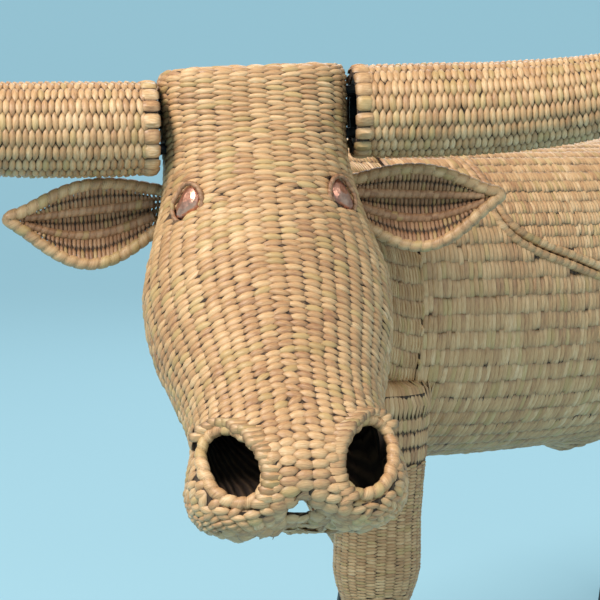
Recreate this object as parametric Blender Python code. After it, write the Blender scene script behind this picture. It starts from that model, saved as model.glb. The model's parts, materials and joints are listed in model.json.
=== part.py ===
"""Woven rush longhorn bull over an iron frame, standing on four iron hooves.

Metres, +Z up. The bull faces -Y, its left side is +X, and its head is turned to its left. The
barrel is a tub with a hinged back lid, and the horns pull off the iron forks that carry them.
"""

import math

import bmesh
import bpy
import numpy as np
from mathutils import Matrix, Vector

# Walls and clearances.
WALL = 0.010
TOUCH = 0.0005
LEG_TOUCH = 0.0025
SEAM = 0.004
SIDES = 24

# Places of the whole bull and of its head, and how the head is held.
CENTRE_OF_BOX = (0.1794, -0.1903)
HEAD_AT = (0.172, -0.529, 0.800)
HEAD_YAW = 57.5
HEAD_ROLL = 2.5

# The barrel: y, half width, top and bottom of each section.
BARREL = (
    (-0.262, 0.170, 0.778, 0.366),
    (-0.180, 0.180, 0.778, 0.358),
    (-0.050, 0.188, 0.777, 0.348),
    (0.080, 0.190, 0.776, 0.342),
    (0.200, 0.190, 0.776, 0.340),
    (0.350, 0.186, 0.779, 0.346),
    (0.470, 0.177, 0.784, 0.366),
    (0.565, 0.152, 0.780, 0.410),
    (0.622, 0.105, 0.756, 0.475),
    (0.645, 0.050, 0.710, 0.560),
)
BARREL_SQUARENESS, BARREL_RINGS, HOLLOW_END = 2.4, 17, 0.615
SHEATH_Y, SHEATH_LENGTH, SHEATH_WIDTH, SHEATH_DROP = 0.215, 0.050, 0.055, 0.030

# The neck: x, y, heading in degrees, half width, top and bottom of each section.
NECK = (
    (0.000, -0.2635, 0.0, 0.169, 0.778, 0.367),
    (0.006, -0.330, 10.0, 0.160, 0.779, 0.380),
    (0.032, -0.395, 27.0, 0.142, 0.782, 0.420),
    (0.075, -0.450, 43.0, 0.120, 0.788, 0.470),
    (0.124, -0.496, 54.0, 0.101, 0.794, 0.525),
    (0.168, -0.528, 56.0, 0.088, 0.798, 0.560),
)
NECK_SQUARENESS, NECK_RINGS = 2.2, 9

# The head, from the poll to the lips: ahead and up of the poll, tilt of the section in degrees,
# its reach to the face and to the jaw, half width, squareness, and how much wider the jaw is.
HEAD = (
    (0.000, 0.057, 4.0, 0.054, 0.056, 0.095, 4.0, 0.00),
    (0.002, 0.048, 6.0, 0.068, 0.070, 0.101, 3.8, 0.00),
    (0.008, 0.005, 16.0, 0.073, 0.080, 0.101, 3.3, 0.00),
    (0.026, -0.050, 28.0, 0.077, 0.098, 0.099, 2.7, 0.04),
    (0.054, -0.105, 36.0, 0.079, 0.118, 0.112, 2.3, 0.16),
    (0.090, -0.165, 38.0, 0.081, 0.128, 0.129, 2.1, 0.22),
    (0.136, -0.225, 39.0, 0.080, 0.116, 0.122, 2.1, 0.22),
    (0.184, -0.278, 39.0, 0.077, 0.090, 0.103, 2.2, 0.13),
    (0.222, -0.315, 37.0, 0.079, 0.074, 0.097, 2.4, 0.03),
    (0.250, -0.343, 31.0, 0.083, 0.068, 0.106, 2.6, 0.00),
    (0.262, -0.364, 22.0, 0.077, 0.066, 0.107, 2.6, 0.00),
    (0.270, -0.385, 12.0, 0.062, 0.056, 0.096, 2.4, 0.00),
    (0.272, -0.398, 8.0, 0.036, 0.038, 0.066, 2.2, 0.00),
)
HEAD_RINGS = 23
LIP_TOP, LIP_DEPTH, LIP_NOTCH, LIP_NOTCH_WIDTH = -0.325, 0.060, 0.034, 0.030

# Nostrils: places on the face, rim sizes and how far their tops lean outwards.
NOSTRIL_OUT, NOSTRIL_AHEAD, NOSTRIL_UP, NOSTRIL_LEAN = 0.064, 0.300, -0.321, 28.0
NOSTRIL_HALF_WIDTH, NOSTRIL_HALF_HEIGHT, NOSTRIL_RIM = 0.0270, 0.0335, 0.0065

# Eyes: copper drops set in the skin, with the corner pointing down towards the nose.
EYE_STATION, EYE_TURN = 4.03, 49.0
EYE_HALF_WIDTH, EYE_HALF_HEIGHT, EYE_CORNER = 0.0135, 0.0160, 0.0120
EYE_DOME = (
    (0.98, -0.012),
    (1.00, -0.006),
    (0.97, -0.002),
    (0.84, 0.002),
    (0.62, 0.0045),
    (0.30, 0.0062),
)

# Ears: root and tip beside the head, as out, ahead and up.
EAR_ROOT, EAR_TIP = (0.1135, 0.004, -0.090), (0.274, 0.030, -0.090)
EAR_HALF_HEIGHT, EAR_CUP, EAR_LEAF, EAR_RIM = 0.044, 0.026, 0.006, 0.0065

# Horns: out, ahead, up and radius along the axis, then the iron at their roots.
HORN = (
    (0.1080, 0.030, 0.000, 0.0480),
    (0.180, 0.032, 0.002, 0.0495),
    (0.290, 0.037, 0.008, 0.0480),
    (0.395, 0.046, 0.024, 0.0435),
    (0.480, 0.058, 0.060, 0.0360),
    (0.545, 0.068, 0.118, 0.0260),
    (0.583, 0.072, 0.186, 0.0155),
    (0.597, 0.072, 0.236, 0.0070),
)
HORN_LEVEL = {1: 0.0085, -1: -0.0005}
HORN_TILT = {1: -3.2, -1: -0.2}
HORN_RING_OUTER, HORN_RING_INNER, HORN_RING_WIDTH = 0.0372, 0.0302, 0.0070
FORK_PRONG, FORK_SPREAD, FORK_REACH = 0.0060, 0.0230, 0.0950

# The lid's outline from the side, front top to rear top, as y and z.
LID_OUTLINE = (
    (-0.125, 0.900),
    (-0.126, 0.780),
    (-0.128, 0.712),
    (-0.119, 0.678),
    (-0.092, 0.654),
    (-0.050, 0.636),
    (0.000, 0.620),
    (0.050, 0.603),
    (0.100, 0.587),
    (0.160, 0.577),
    (0.215, 0.575),
    (0.300, 0.575),
    (0.425, 0.575),
    (0.490, 0.584),
    (0.530, 0.618),
    (0.550, 0.680),
    (0.556, 0.780),
    (0.560, 0.900),
)
LID_EDGE_Z = 0.575
EDGE_BACK, EDGE_STEP = 0.012, 0.016
HINGE_YS = {"front": 0.240, "rear": 0.400}
HINGE_OUT = 0.1945
KNUCKLE, PIN, LEAF, LEAF_LENGTH, LEAF_HEIGHT = 0.0036, 0.0014, 0.0014, 0.048, 0.026

# Iron rods inside the skin.
EDGE_ROD, RIB_ROD, KEEL_ROD, LEG_ROD, NECK_ROD = 0.0040, 0.0040, 0.0050, 0.0070, 0.0080
RIB_CLEARANCE, KEEL_CLEARANCE = 0.0015, 0.004
RIB_YS = {"front": -0.150, "middle": 0.050, "rear": 0.330}
NECK_ROD_Z = 0.665
NOSE_BAR = ((0.028, 0.030), (0.040, -0.060), (0.110, -0.170), (0.215, -0.290))

# Legs: hip and foot in plan, the knee's offset behind the straight line, and the radii by height.
FRONT_RADII = (
    (0.470, 0.062), (0.400, 0.057), (0.340, 0.053), (0.300, 0.052), (0.262, 0.0535),
    (0.238, 0.052), (0.215, 0.043), (0.190, 0.036), (0.160, 0.035), (0.1410, 0.036),
)
HIND_RADII = (
    (0.500, 0.076), (0.440, 0.072), (0.380, 0.062), (0.330, 0.052), (0.290, 0.045),
    (0.262, 0.045), (0.225, 0.036), (0.190, 0.033), (0.160, 0.034), (0.1410, 0.036),
)
LEGS = {
    "front_left": ((0.114, -0.279), (0.131, -0.303), 0.000, FRONT_RADII),
    "front_right": ((-0.112, -0.195), (-0.130, -0.080), -0.015, FRONT_RADII),
    "hind_left": ((0.098, 0.430), (0.118, 0.425), 0.040, HIND_RADII),
    "hind_right": ((-0.098, 0.475), (-0.118, 0.525), 0.035, HIND_RADII),
}
HOOF_TOP, LEG_ROD_TOP = 0.1405, 0.355
HOOF = (
    (0.000, 0.052, 0.014),
    (0.030, 0.050, 0.011),
    (0.090, 0.042, 0.003),
    (HOOF_TOP, 0.0365, 0.000),
)
CLEFT_WIDTH, CLEFT_DEPTH, CLEFT_TOP = 0.006, 0.034, 0.075

# The tail, as y and z down its middle, with the tuft below it.
TAIL = (
    (0.648, 0.740),
    (0.670, 0.712),
    (0.687, 0.650),
    (0.691, 0.560),
    (0.687, 0.460),
    (0.682, 0.390),
)
TAIL_RADIUS = 0.011
TUFT = ((0.3880, 0.011), (0.360, 0.019), (0.310, 0.024), (0.260, 0.017), (0.225, 0.006))

# The pieces that move, by body.
MOVING = {
    "lid": ("back_lid", "lid_edge_hoop", "hinge_front_lid_leaf", "hinge_rear_lid_leaf"),
    "horn_left": ("horn_sleeve_left", "horn_ring_left"),
    "horn_right": ("horn_sleeve_right", "horn_ring_right"),
}

X, Y, Z = Vector((1, 0, 0)), Vector((0, 1, 0)), Vector((0, 0, 1))


def clear_scene():
    for obj in list(bpy.data.objects):
        bpy.data.objects.remove(obj)


def finish(name, colour, roughness, metallic=0.0):
    """A plain Principled material."""
    material = bpy.data.materials.new(name)
    material.use_nodes = True
    shader = material.node_tree.nodes["Principled BSDF"]
    shader.inputs["Base Color"].default_value = (*colour, 1.0)
    shader.inputs["Roughness"].default_value = roughness
    shader.inputs["Metallic"].default_value = metallic
    return material


# ---------------------------------------------------------------- shapes


def through(stations, count):
    """Rows of a Catmull-Rom curve through the stations, spread evenly over them."""
    return [at_station(stations, t) for t in np.linspace(0, len(stations) - 1, count)]


def at_station(stations, t):
    """One row of the curve through the stations, where t counts stations."""
    table = np.array(stations, float)
    padded = np.vstack([2 * table[0] - table[1], table, 2 * table[-1] - table[-2]])
    i = min(int(t), len(table) - 2)
    f = t - i
    a, b, c, d = padded[i : i + 4]
    bend = (2 * a - 5 * b + 4 * c - d) * f * f + (3 * b - a - 3 * c + d) * f**3
    return 0.5 * (2 * b + (c - a) * f + bend)


def section(centre, side, up, half_width, above, below, squareness=2.0, sides=SIDES):
    """A ring of points on a superellipse, from its top towards its side."""
    turns = [math.tau * k / sides for k in range(sides)]
    shape = (centre, side, up, half_width, above, below, squareness, 0.0)
    return [section_point(*shape, turn) for turn in turns]


def section_point(centre, side, up, half_width, above, below, squareness, jaw, turn):
    """The point of a section at an angle from its top. jaw widens its lower half by that share."""
    rise = math.copysign(abs(math.cos(turn)) ** (2 / squareness), math.cos(turn))
    reach = math.copysign(abs(math.sin(turn)) ** (2 / squareness), math.sin(turn))
    wide = half_width * (1 - jaw * rise)
    return centre + side * reach * wide + up * rise * (above if rise > 0 else below)


def new_object(name, mesh, material):
    obj = bpy.data.objects.new(name, mesh)
    mesh.materials.append(material)
    bpy.context.scene.collection.objects.link(obj)
    return obj


def solid(name, rings, loops, material):
    """A closed mesh from rings of points. loops says which ring follows which, and 'cap' ends."""
    points = [p for ring in rings for p in ring]
    sides = len(rings[0])
    faces = []
    for a, b in loops:
        if b == "cap":
            faces.append([a * sides + k for k in range(sides)])
            continue
        for k in range(sides):
            after = (k + 1) % sides
            faces.append((a * sides + k, a * sides + after, b * sides + after, b * sides + k))
    mesh = bpy.data.meshes.new(name)
    mesh.from_pydata(points, [], faces)
    work = bmesh.new()
    work.from_mesh(mesh)
    bmesh.ops.recalc_face_normals(work, faces=work.faces)
    work.to_mesh(mesh)
    work.free()
    mesh.shade_smooth()
    mesh.set_sharp_from_angle(angle=math.radians(40))
    return new_object(name, mesh, material)


def skin(name, rings, material):
    """A solid through the rings, closed at both ends."""
    last = len(rings) - 1
    return solid(name, rings, [(0, "cap"), *((i, i + 1) for i in range(last)), (last, "cap")], material)


def sleeve(name, outer, inner, material, closed_tip=False):
    """A hollow solid between outer and inner rings, open at its root and, unless closed, its tip."""
    n, m = len(outer), len(inner)
    loops = [(i, i + 1) for i in range(n - 1)] + [(n + i, n + i + 1) for i in range(m - 1)]
    loops += [(0, n)]
    loops += [(n - 1, "cap"), (n + m - 1, "cap")] if closed_tip else [(n - 1, n + m - 1)]
    return solid(name, outer + inner, loops, material)


def rod(name, points, radius, material, closed=False, sides=8):
    """A round rod along points, made as a mesh with rings square to its path."""
    count = len(points)
    rings = []
    side = None
    for i, point in enumerate(points):
        before = points[i - 1] if closed or i else point
        after = points[(i + 1) % count] if closed or i < count - 1 else point
        along = (after - before).normalized()
        side = side or (X if abs(along.x) < 0.8 else Z)
        side = (side - along * side.dot(along)).normalized()
        rings.append(section(point, side, along.cross(side), radius, radius, radius, sides=sides))
    loops = [(i, i + 1) for i in range(count - 1)]
    loops += [(count - 1, 0)] if closed else [(0, "cap"), (count - 1, "cap")]
    if closed:
        rings = untwisted(rings)
    return solid(name, rings, loops, material)


def untwisted(rings):
    """The rings with a growing turn, so that the last one lines up with the first."""
    sides = len(rings[0])
    gaps = [(rings[-1][0] - rings[0][k]).length for k in range(sides)]
    slip = gaps.index(min(gaps))
    slip = slip - sides if slip > sides / 2 else slip
    count = len(rings)
    return [
        [ring[(k - round(slip * i / count)) % sides] for k in range(sides)]
        for i, ring in enumerate(rings)
    ]


def box(name, low, high, material):
    """A plain block between two corners."""
    corners = ((low[0], low[1]), (high[0], low[1]), (high[0], high[1]), (low[0], high[1]))
    rings = [[Vector((x, y, z)) for x, y in corners] for z in (low[2], high[2])]
    return skin(name, rings, material)


def cutter(obj):
    obj.hide_render = True
    obj.display_type = "WIRE"
    return obj


def combine(obj, other, operation="DIFFERENCE"):
    modifier = obj.modifiers.new(other.name, "BOOLEAN")
    modifier.operation = operation
    modifier.solver = "EXACT"
    modifier.object = cutter(other)


# ---------------------------------------------------------------- body


def with_sheath(point):
    """Lowers the belly where the sheath hangs."""
    along = math.exp(-(((point.y - SHEATH_Y) / SHEATH_LENGTH) ** 2))
    across = math.exp(-((point.x / SHEATH_WIDTH) ** 2))
    low = max(0.0, min(1.0, (0.50 - point.z) / 0.08))
    return point - Z * SHEATH_DROP * along * across * low


def barrel_ring(row, inset=0.0, sides=SIDES):
    y, half_width, top, bottom = row
    height = (top - bottom) / 2 - inset
    centre = Vector((0, y, (top + bottom) / 2))
    ring = section(
        centre, X, Z, half_width - inset, height, height, BARREL_SQUARENESS, sides=sides
    )
    return [with_sheath(point) for point in ring]


def barrel_rings(inset=0.0):
    rows = through(BARREL, BARREL_RINGS)
    if inset > 0:
        rows[0][0] += inset
        rows = [row for row in rows if row[0] < HOLLOW_END]
    return [barrel_ring(row, inset) for row in rows]


def barrel_row(y):
    """The section of the barrel at y."""
    rows = np.array(through(BARREL, 120))
    return [np.interp(y, rows[:, 0], rows[:, k]) for k in range(4)]


def offset_outline(away):
    """The lid's outline moved outwards by away, smoothed through its points."""
    rows = np.array(through(LID_OUTLINE, 35))
    slopes = np.gradient(rows, axis=0)
    slopes /= np.linalg.norm(slopes, axis=1, keepdims=True)
    return rows + away * np.stack([slopes[:, 1], -slopes[:, 0]], axis=1)


def lid_block(name, away, material):
    """The space of the lid, as wide as the bull, grown by away."""
    outline = offset_outline(away)
    rings = [[Vector((x, y, z)) for y, z in outline] for x in (-0.30, 0.30)]
    return cutter(skin(name, rings, material))


def make_tub_and_lid(straw):
    block = {"body_tub": SEAM / 2, "back_lid": -SEAM / 2}
    for name, away in block.items():
        shell = skin(name, barrel_rings(), straw)
        combine(shell, skin(name + "_hollow", barrel_rings(WALL), straw))
        operation = "DIFFERENCE" if away > 0 else "INTERSECT"
        combine(shell, lid_block(name + "_block", away, straw), operation)


def edge_loop(away, inset):
    """A closed line inside the skin that runs along the lid's seam."""
    outline = offset_outline(away)
    low = int(np.argmin(outline[:, 1]))
    half = []
    for branch in (outline[: low + 1], outline[low:][::-1]):
        zs, ys = branch[::-1, 1], branch[::-1, 0]
        arc = []
        for turn in np.linspace(0.0, math.pi / 2, 10):
            y, z = float(ys[-1]), 0.0
            for _ in range(3):
                _, half_width, top, bottom = barrel_row(y)
                height = (top - bottom) / 2 - inset
                rise = math.cos(turn) ** (2 / BARREL_SQUARENESS)
                z = max((top + bottom) / 2 + height * rise, LID_EDGE_Z - away)
                y = float(np.interp(z, zs, ys))
            share = min(1.0, (z - (top + bottom) / 2) / height)
            reach = (half_width - inset) * (1 - share**BARREL_SQUARENESS) ** (1 / BARREL_SQUARENESS)
            if not arc or (Vector((reach, y, z)) - arc[-1]).length > EDGE_STEP:
                arc.append(Vector((reach, y, z)))
        half.append(arc)
    left = half[0] + half[1][::-1]
    right = [Vector((-p.x, p.y, p.z)) for p in left[::-1]]
    return left + [p for p in right if abs(p.x) > EDGE_STEP]


def make_edge_hoops(iron):
    inset = WALL + EDGE_ROD + 0.004
    rod("tub_edge_hoop", edge_loop(EDGE_BACK, inset), EDGE_ROD, iron, closed=True, sides=6)
    rod("lid_edge_hoop", edge_loop(-EDGE_BACK, inset), EDGE_ROD, iron, closed=True, sides=6)


def make_ribs(iron):
    """Iron half hoops against the inside of the tub, and the keel rod that joins their feet."""
    inset = WALL + RIB_ROD + RIB_CLEARANCE
    for place, y in RIB_YS.items():
        row = barrel_row(y)
        ring = barrel_ring(row, inset, sides=28)
        rod(f"rib_{place}", ring[8:21], RIB_ROD, iron, sides=6)
    lift = inset + RIB_ROD + KEEL_ROD + KEEL_CLEARANCE
    keel = []
    for y in np.linspace(-0.235, 0.520, 14):
        _, _, _, bottom = barrel_row(y)
        keel.append(with_sheath(Vector((0, y, bottom))) + Z * lift)
    rod("keel_rod", keel, KEEL_ROD, iron)


def neck_ring(row, inset=0.0):
    x, y, heading, half_width, top, bottom = row
    heading = math.radians(heading)
    side = Vector((math.cos(heading), math.sin(heading), 0))
    height = (top - bottom) / 2 - inset
    centre = Vector((x, y, (top + bottom) / 2))
    return section(centre, side, Z, half_width - inset, height, height, NECK_SQUARENESS)


def make_neck(straw, iron):
    rows = through(NECK, NECK_RINGS)
    shell = sleeve(
        "neck_sleeve", [neck_ring(r) for r in rows], [neck_ring(r, WALL) for r in rows], straw
    )
    combine(shell, cutter(head_solid("neck_sleeve_end", straw, -TOUCH)))
    middle = [Vector((x, y, NECK_ROD_Z)) for x, y, *_ in through(NECK[:4], 9)]
    rod("neck_rod", middle, NECK_ROD, iron)


# ---------------------------------------------------------------- head


def head_matrix():
    turn = Matrix.Rotation(math.radians(HEAD_YAW), 4, "Z")
    roll = Matrix.Rotation(math.radians(-HEAD_ROLL), 4, "Y")
    return Matrix.Translation(HEAD_AT) @ turn @ roll


def on_head(out, ahead, up):
    """A point from its place beside, ahead of and above the poll."""
    return head_matrix() @ Vector((out, -ahead, up))


def with_lips(point):
    """Raises the middle of the lower lip between the two lobes."""
    low = max(0.0, min(1.0, (LIP_TOP - point.z) / LIP_DEPTH))
    return point + Z * LIP_NOTCH * low * math.exp(-((point.x / LIP_NOTCH_WIDTH) ** 2))


def head_point(row, turn, inset=0.0):
    """The point of a head section at an angle from the middle of the face."""
    ahead, up, tilt, front, back, half_width, squareness, jaw = row
    tilt = math.radians(tilt)
    forward = Vector((0, -math.cos(tilt), math.sin(tilt)))
    centre = Vector((0, -ahead, up))
    flat = section_point(
        centre, X, forward, half_width - inset, front - inset, back - inset, squareness, jaw, turn
    )
    return head_matrix() @ with_lips(flat)


def head_rings(inset=0.0):
    rows = through(HEAD, HEAD_RINGS)
    if inset > 0:
        rows = rows[2:-2:2]
    return [[head_point(row, math.tau * k / SIDES, inset) for k in range(SIDES)] for row in rows]


def head_solid(name, material, inset=0.0):
    return skin(name, head_rings(inset), material)


def surface_frame(station, degrees):
    """The head's surface at a station and angle, with X across, Y down the head and Z outwards."""
    turn = math.radians(degrees)
    here = head_point(at_station(HEAD, station), turn)
    down = head_point(at_station(HEAD, station + 0.1), turn) - here
    across = head_point(at_station(HEAD, station), turn + 0.02) - here
    outward = across.cross(down).normalized()
    outward = outward if outward.dot(here - Vector(HEAD_AT)) > 0 else -outward
    down.normalize()
    axes = Matrix((down.cross(outward), down, outward)).transposed().to_4x4()
    return Matrix.Translation(here) @ axes


def ellipse_prism(name, place, half_width, half_height, depth, material):
    """A prism with an oval outline in the place's XY plane, reaching depth to both sides."""
    rings = [
        [place @ (p + Z * z) for p in section(Vector(), X, Y, half_width, half_height, half_height)]
        for z in (-depth, depth)
    ]
    return cutter(skin(name, rings, material))


def nostril_place(side):
    """The middle of a nostril on the face, looking ahead, leaning outwards at the top."""
    lean = Matrix.Rotation(math.radians(side * NOSTRIL_LEAN), 4, "Y")
    face = Matrix.Rotation(math.radians(90), 4, "X")
    spot = Matrix.Translation((side * NOSTRIL_OUT, -NOSTRIL_AHEAD, NOSTRIL_UP))
    return head_matrix() @ spot @ lean @ face


def face_depth(point, place):
    """How far along the place's axis the head's surface lies over a point of its plane."""
    best = min(
        (p for ring in head_rings() for p in ring),
        key=lambda p: ((place.inverted() @ p).xy - point.xy).length
        + (0.0 if (place.inverted() @ p).z > -0.04 else 1.0),
    )
    return (place.inverted() @ best).z


def make_nostril(shell, name, side, straw):
    place = nostril_place(side)
    wide, high = NOSTRIL_HALF_WIDTH, NOSTRIL_HALF_HEIGHT
    grow = NOSTRIL_RIM + TOUCH
    combine(shell, ellipse_prism(f"{name}_hole", place, wide + grow, high + grow, 0.075, straw))
    count = 20
    flat = section(Vector(), X, Y, wide, high, high, sides=count)
    depths = [face_depth(p, place) for p in flat]
    near = range(-2, 3)
    smooth = [np.mean([depths[(i + k) % count] for k in near]) for i in range(count)]
    loop = [place @ (p + Z * (d - 0.003)) for p, d in zip(flat, smooth, strict=True)]
    rod(name, loop, NOSTRIL_RIM, straw, closed=True, sides=7)


def eye_outline(grow, side):
    """A drop: an oval with its lower inner side drawn out to a corner."""
    points = []
    for k in range(20):
        turn = math.tau * k / 20
        corner = max(0.0, math.cos(turn - math.radians(55))) ** 6 * EYE_CORNER
        x = -side * math.sin(turn) * (EYE_HALF_WIDTH + corner)
        y = math.cos(turn) * (EYE_HALF_HEIGHT + corner)
        points.append(Vector((x, y, 0)) * grow)
    return points


def make_eye(shell, name, side, copper):
    place = surface_frame(EYE_STATION, side * EYE_TURN)
    hole = [[place @ (p + Z * z) for p in eye_outline(1.10, side)] for z in (-0.03, 0.03)]
    combine(shell, cutter(skin(f"{name}_socket", hole, copper)))
    rings = [[place @ (p + Z * z) for p in eye_outline(grow, side)] for grow, z in EYE_DOME]
    skin(name, rings, copper)


def ear_frame(side):
    """The ear's middle line and the direction across it, on one side of the head."""
    root = on_head(side * EAR_ROOT[0], *EAR_ROOT[1:])
    tip = on_head(side * EAR_TIP[0], *EAR_TIP[1:])
    ahead = on_head(0, 1, 0) - on_head(0, 0, 0)
    along = tip - root
    up = ahead.cross(along).normalized()
    up = up if up.z > 0 else -up
    return root, along, up, ahead


def ear_half_height(share):
    """Half the ear's height at a share of its length from the root."""
    swell = 0.50 + 0.50 * math.sin(math.pi * min(1.0, share * 1.10 + 0.02))
    return EAR_HALF_HEIGHT * swell * (1 - share**5)


def ear_point(side, share, across, lift=0.0):
    """A point of the cupped ear: share from root to tip, across from -1 to 1, lift out of the cup."""
    root, along, up, ahead = ear_frame(side)
    half = ear_half_height(share)
    depth = EAR_CUP * (1 - across**2) ** 2 * half / EAR_HALF_HEIGHT
    sag = 0.012 * math.sin(math.pi * share)
    return root + along * share + up * (half * across - sag) - ahead * (depth - lift)


def make_ear(name, side, straw):
    shares = np.linspace(0.02, 0.86, 10)
    rings = []
    for share in shares:
        half = ear_half_height(share)
        edge = 1 - (EAR_RIM + 0.0022) / half
        spots = np.linspace(-edge, edge, 7)
        front = [ear_point(side, share, s, EAR_LEAF / 2) for s in spots]
        back = [ear_point(side, share, s, -EAR_LEAF / 2) for s in spots[::-1]]
        rings.append(front + back)
    skin(f"ear_leaf_{name}", rings, straw)
    shares = np.linspace(0.0, 0.985, 11)
    upper = [ear_point(side, s, 1.0) for s in shares]
    lower = [ear_point(side, s, -1.0) for s in shares]
    rod(f"ear_rim_{name}", upper + lower[::-1], EAR_RIM, straw, sides=7)


def make_head(straw, copper, iron):
    shell = head_solid("head_shell", straw)
    combine(shell, cutter(head_solid("head_hollow", straw, WALL)))
    for name, side in (("left", 1), ("right", -1)):
        make_nostril(shell, f"nostril_rim_{name}", side, straw)
        make_eye(shell, f"eye_{name}", side, copper)
        make_ear(name, side, straw)
        make_fork(shell, f"horn_fork_{name}", side, iron)
        make_horn(name, side, straw, iron)
    rod("nose_bar", [on_head(0, ahead, up) for ahead, up in NOSE_BAR], RIB_ROD, iron)


# ---------------------------------------------------------------- horns


def horn_row(side, row):
    """A row of the horn's table as it is mounted on one side: each horn sits a little differently."""
    out, ahead, level = row[:3]
    drop = math.tan(math.radians(HORN_TILT[side])) * (out - HORN[0][0])
    return (out, ahead, level + HORN_LEVEL[side] + drop, row[3])


def horn_rings(side, inset, rows, sides=14):
    """Rings square to the horn's axis."""
    rows = [horn_row(side, row) for row in rows]
    rings = []
    for i, row in enumerate(rows):
        before, after = rows[max(i - 1, 0)], rows[min(i + 1, len(rows) - 1)]
        along = on_head(side * after[0], *after[1:3]) - on_head(side * before[0], *before[1:3])
        along.normalize()
        up = (Z - along * Z.dot(along)).normalized()
        centre = on_head(side * row[0], *row[1:3])
        radius = row[3] - inset
        rings.append(section(centre, along.cross(up), up, radius, radius, radius, sides=sides))
    return rings


def make_horn(name, side, straw, iron):
    rows = through(HORN, 13)
    outer = horn_rings(side, 0, rows)
    inner = horn_rings(side, WALL, rows[:9:2])
    sleeve(f"horn_sleeve_{name}", outer, inner, straw, closed_tip=True)
    root, after = np.array(HORN[0]), np.array(HORN[1])
    out = (after - root) / (after - root)[0]
    near, far = root + out * 0.001, root + out * (0.001 + HORN_RING_WIDTH)
    rings = []
    for radius in (HORN_RING_OUTER, HORN_RING_INNER):
        for end in (near, far):
            here = (*end[:3], radius)
            beyond = (*(end[:3] + out[:3]), radius)
            rings.append(horn_rings(side, 0, [here, beyond])[0])
    solid(f"horn_ring_{name}", rings, [(0, 1), (1, 3), (3, 2), (2, 0)], iron)


def make_fork(shell, name, side, iron):
    """Two prongs through the side of the head into the horn, joined by a bar inside the head."""
    _, ahead, level, _ = horn_row(side, HORN[0])
    inside = 0.076
    bar = [on_head(side * inside, ahead, level + z) for z in (-FORK_SPREAD, FORK_SPREAD)]
    fork = rod(name, bar, FORK_PRONG, iron, sides=12)
    for label, z in (("upper", FORK_SPREAD), ("lower", -FORK_SPREAD)):
        ends = [on_head(side * out, ahead, level + z) for out in (inside, HORN[0][0] + FORK_REACH)]
        combine(fork, rod(f"{name}_{label}", ends, FORK_PRONG, iron, sides=12), "UNION")
        hole = rod(f"{name}_{label}_hole", ends, FORK_PRONG + TOUCH, iron, sides=12)
        combine(shell, hole)


# ---------------------------------------------------------------- lid hinges


def make_hinges(iron):
    """Two butt hinges on the right flank, whose common pin line lets the lid swing over."""
    for place, y in HINGE_YS.items():
        third = LEAF_LENGTH / 3
        spans = {
            "tub": [(y - 1.5 * third, y - 0.5 * third), (y + 0.5 * third, y + 1.5 * third)],
            "lid": [(y - 0.5 * third, y + 0.5 * third)],
        }
        for owner, parts in spans.items():
            make_leaf(f"hinge_{place}_{owner}_leaf", owner, y, parts, iron)
        ends = [Vector((-HINGE_OUT, y + s * (1.5 * third + 0.002), LID_EDGE_Z)) for s in (-1, 1)]
        rod(f"hinge_{place}_pin", ends, PIN, iron, sides=12)


def make_leaf(name, owner, y, parts, iron):
    """A plate on the flank with knuckles round the pin line."""
    way = -1 if owner == "tub" else 1
    skin_side = -HINGE_OUT + KNUCKLE
    zs = sorted((LID_EDGE_Z + way * 0.0005, LID_EDGE_Z + way * LEAF_HEIGHT))
    low = (skin_side - LEAF, y - LEAF_LENGTH / 2, zs[0])
    high = (skin_side, y + LEAF_LENGTH / 2, zs[1])
    leaf = box(name, low, high, iron)
    whole = (y - LEAF_LENGTH / 2, y + LEAF_LENGTH / 2)
    for i, (start, end) in enumerate(gaps_between(parts, whole)):
        clear = (skin_side - LEAF - 0.001, start - TOUCH, LID_EDGE_Z - KNUCKLE - 0.001)
        top = (skin_side + 0.001, end + TOUCH, LID_EDGE_Z + KNUCKLE + 0.001)
        combine(leaf, cutter(box(f"{name}_notch_{i}", clear, top, iron)))
    for i, (start, end) in enumerate(parts):
        ends = [Vector((-HINGE_OUT, edge, LID_EDGE_Z)) for edge in (start + TOUCH, end - TOUCH)]
        combine(leaf, rod(f"{name}_knuckle_{i}", ends, KNUCKLE, iron, sides=16), "UNION")
    bore = [Vector((-HINGE_OUT, y + s * LEAF_LENGTH, LID_EDGE_Z)) for s in (-1, 1)]
    combine(leaf, cutter(rod(f"{name}_bore", bore, PIN + TOUCH, iron, sides=12)))


def gaps_between(parts, whole):
    """The stretches of whole that no part covers."""
    edges = [whole[0], *(e for part in parts for e in part), whole[1]]
    pairs = zip(edges[::2], edges[1::2], strict=True)
    return [(a, b) for a, b in pairs if b - a > 1e-6]


# ---------------------------------------------------------------- legs and tail


def leg_rows(hip, foot, knee_back, radii):
    """Centre and radius down a leg, from the hip to the top of the hoof."""
    top, end = radii[0][0], radii[-1][0]
    rows = []
    for z, radius in through(radii, 11):
        share = (top - z) / (top - end)
        ease = share * share * (3 - 2 * share)
        bow = knee_back * math.sin(math.pi * share) ** 2
        x = hip[0] + (foot[0] - hip[0]) * ease
        y = hip[1] + (foot[1] - hip[1]) * ease + bow
        rows.append((Vector((x, y, z)), radius))
    return rows


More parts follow.
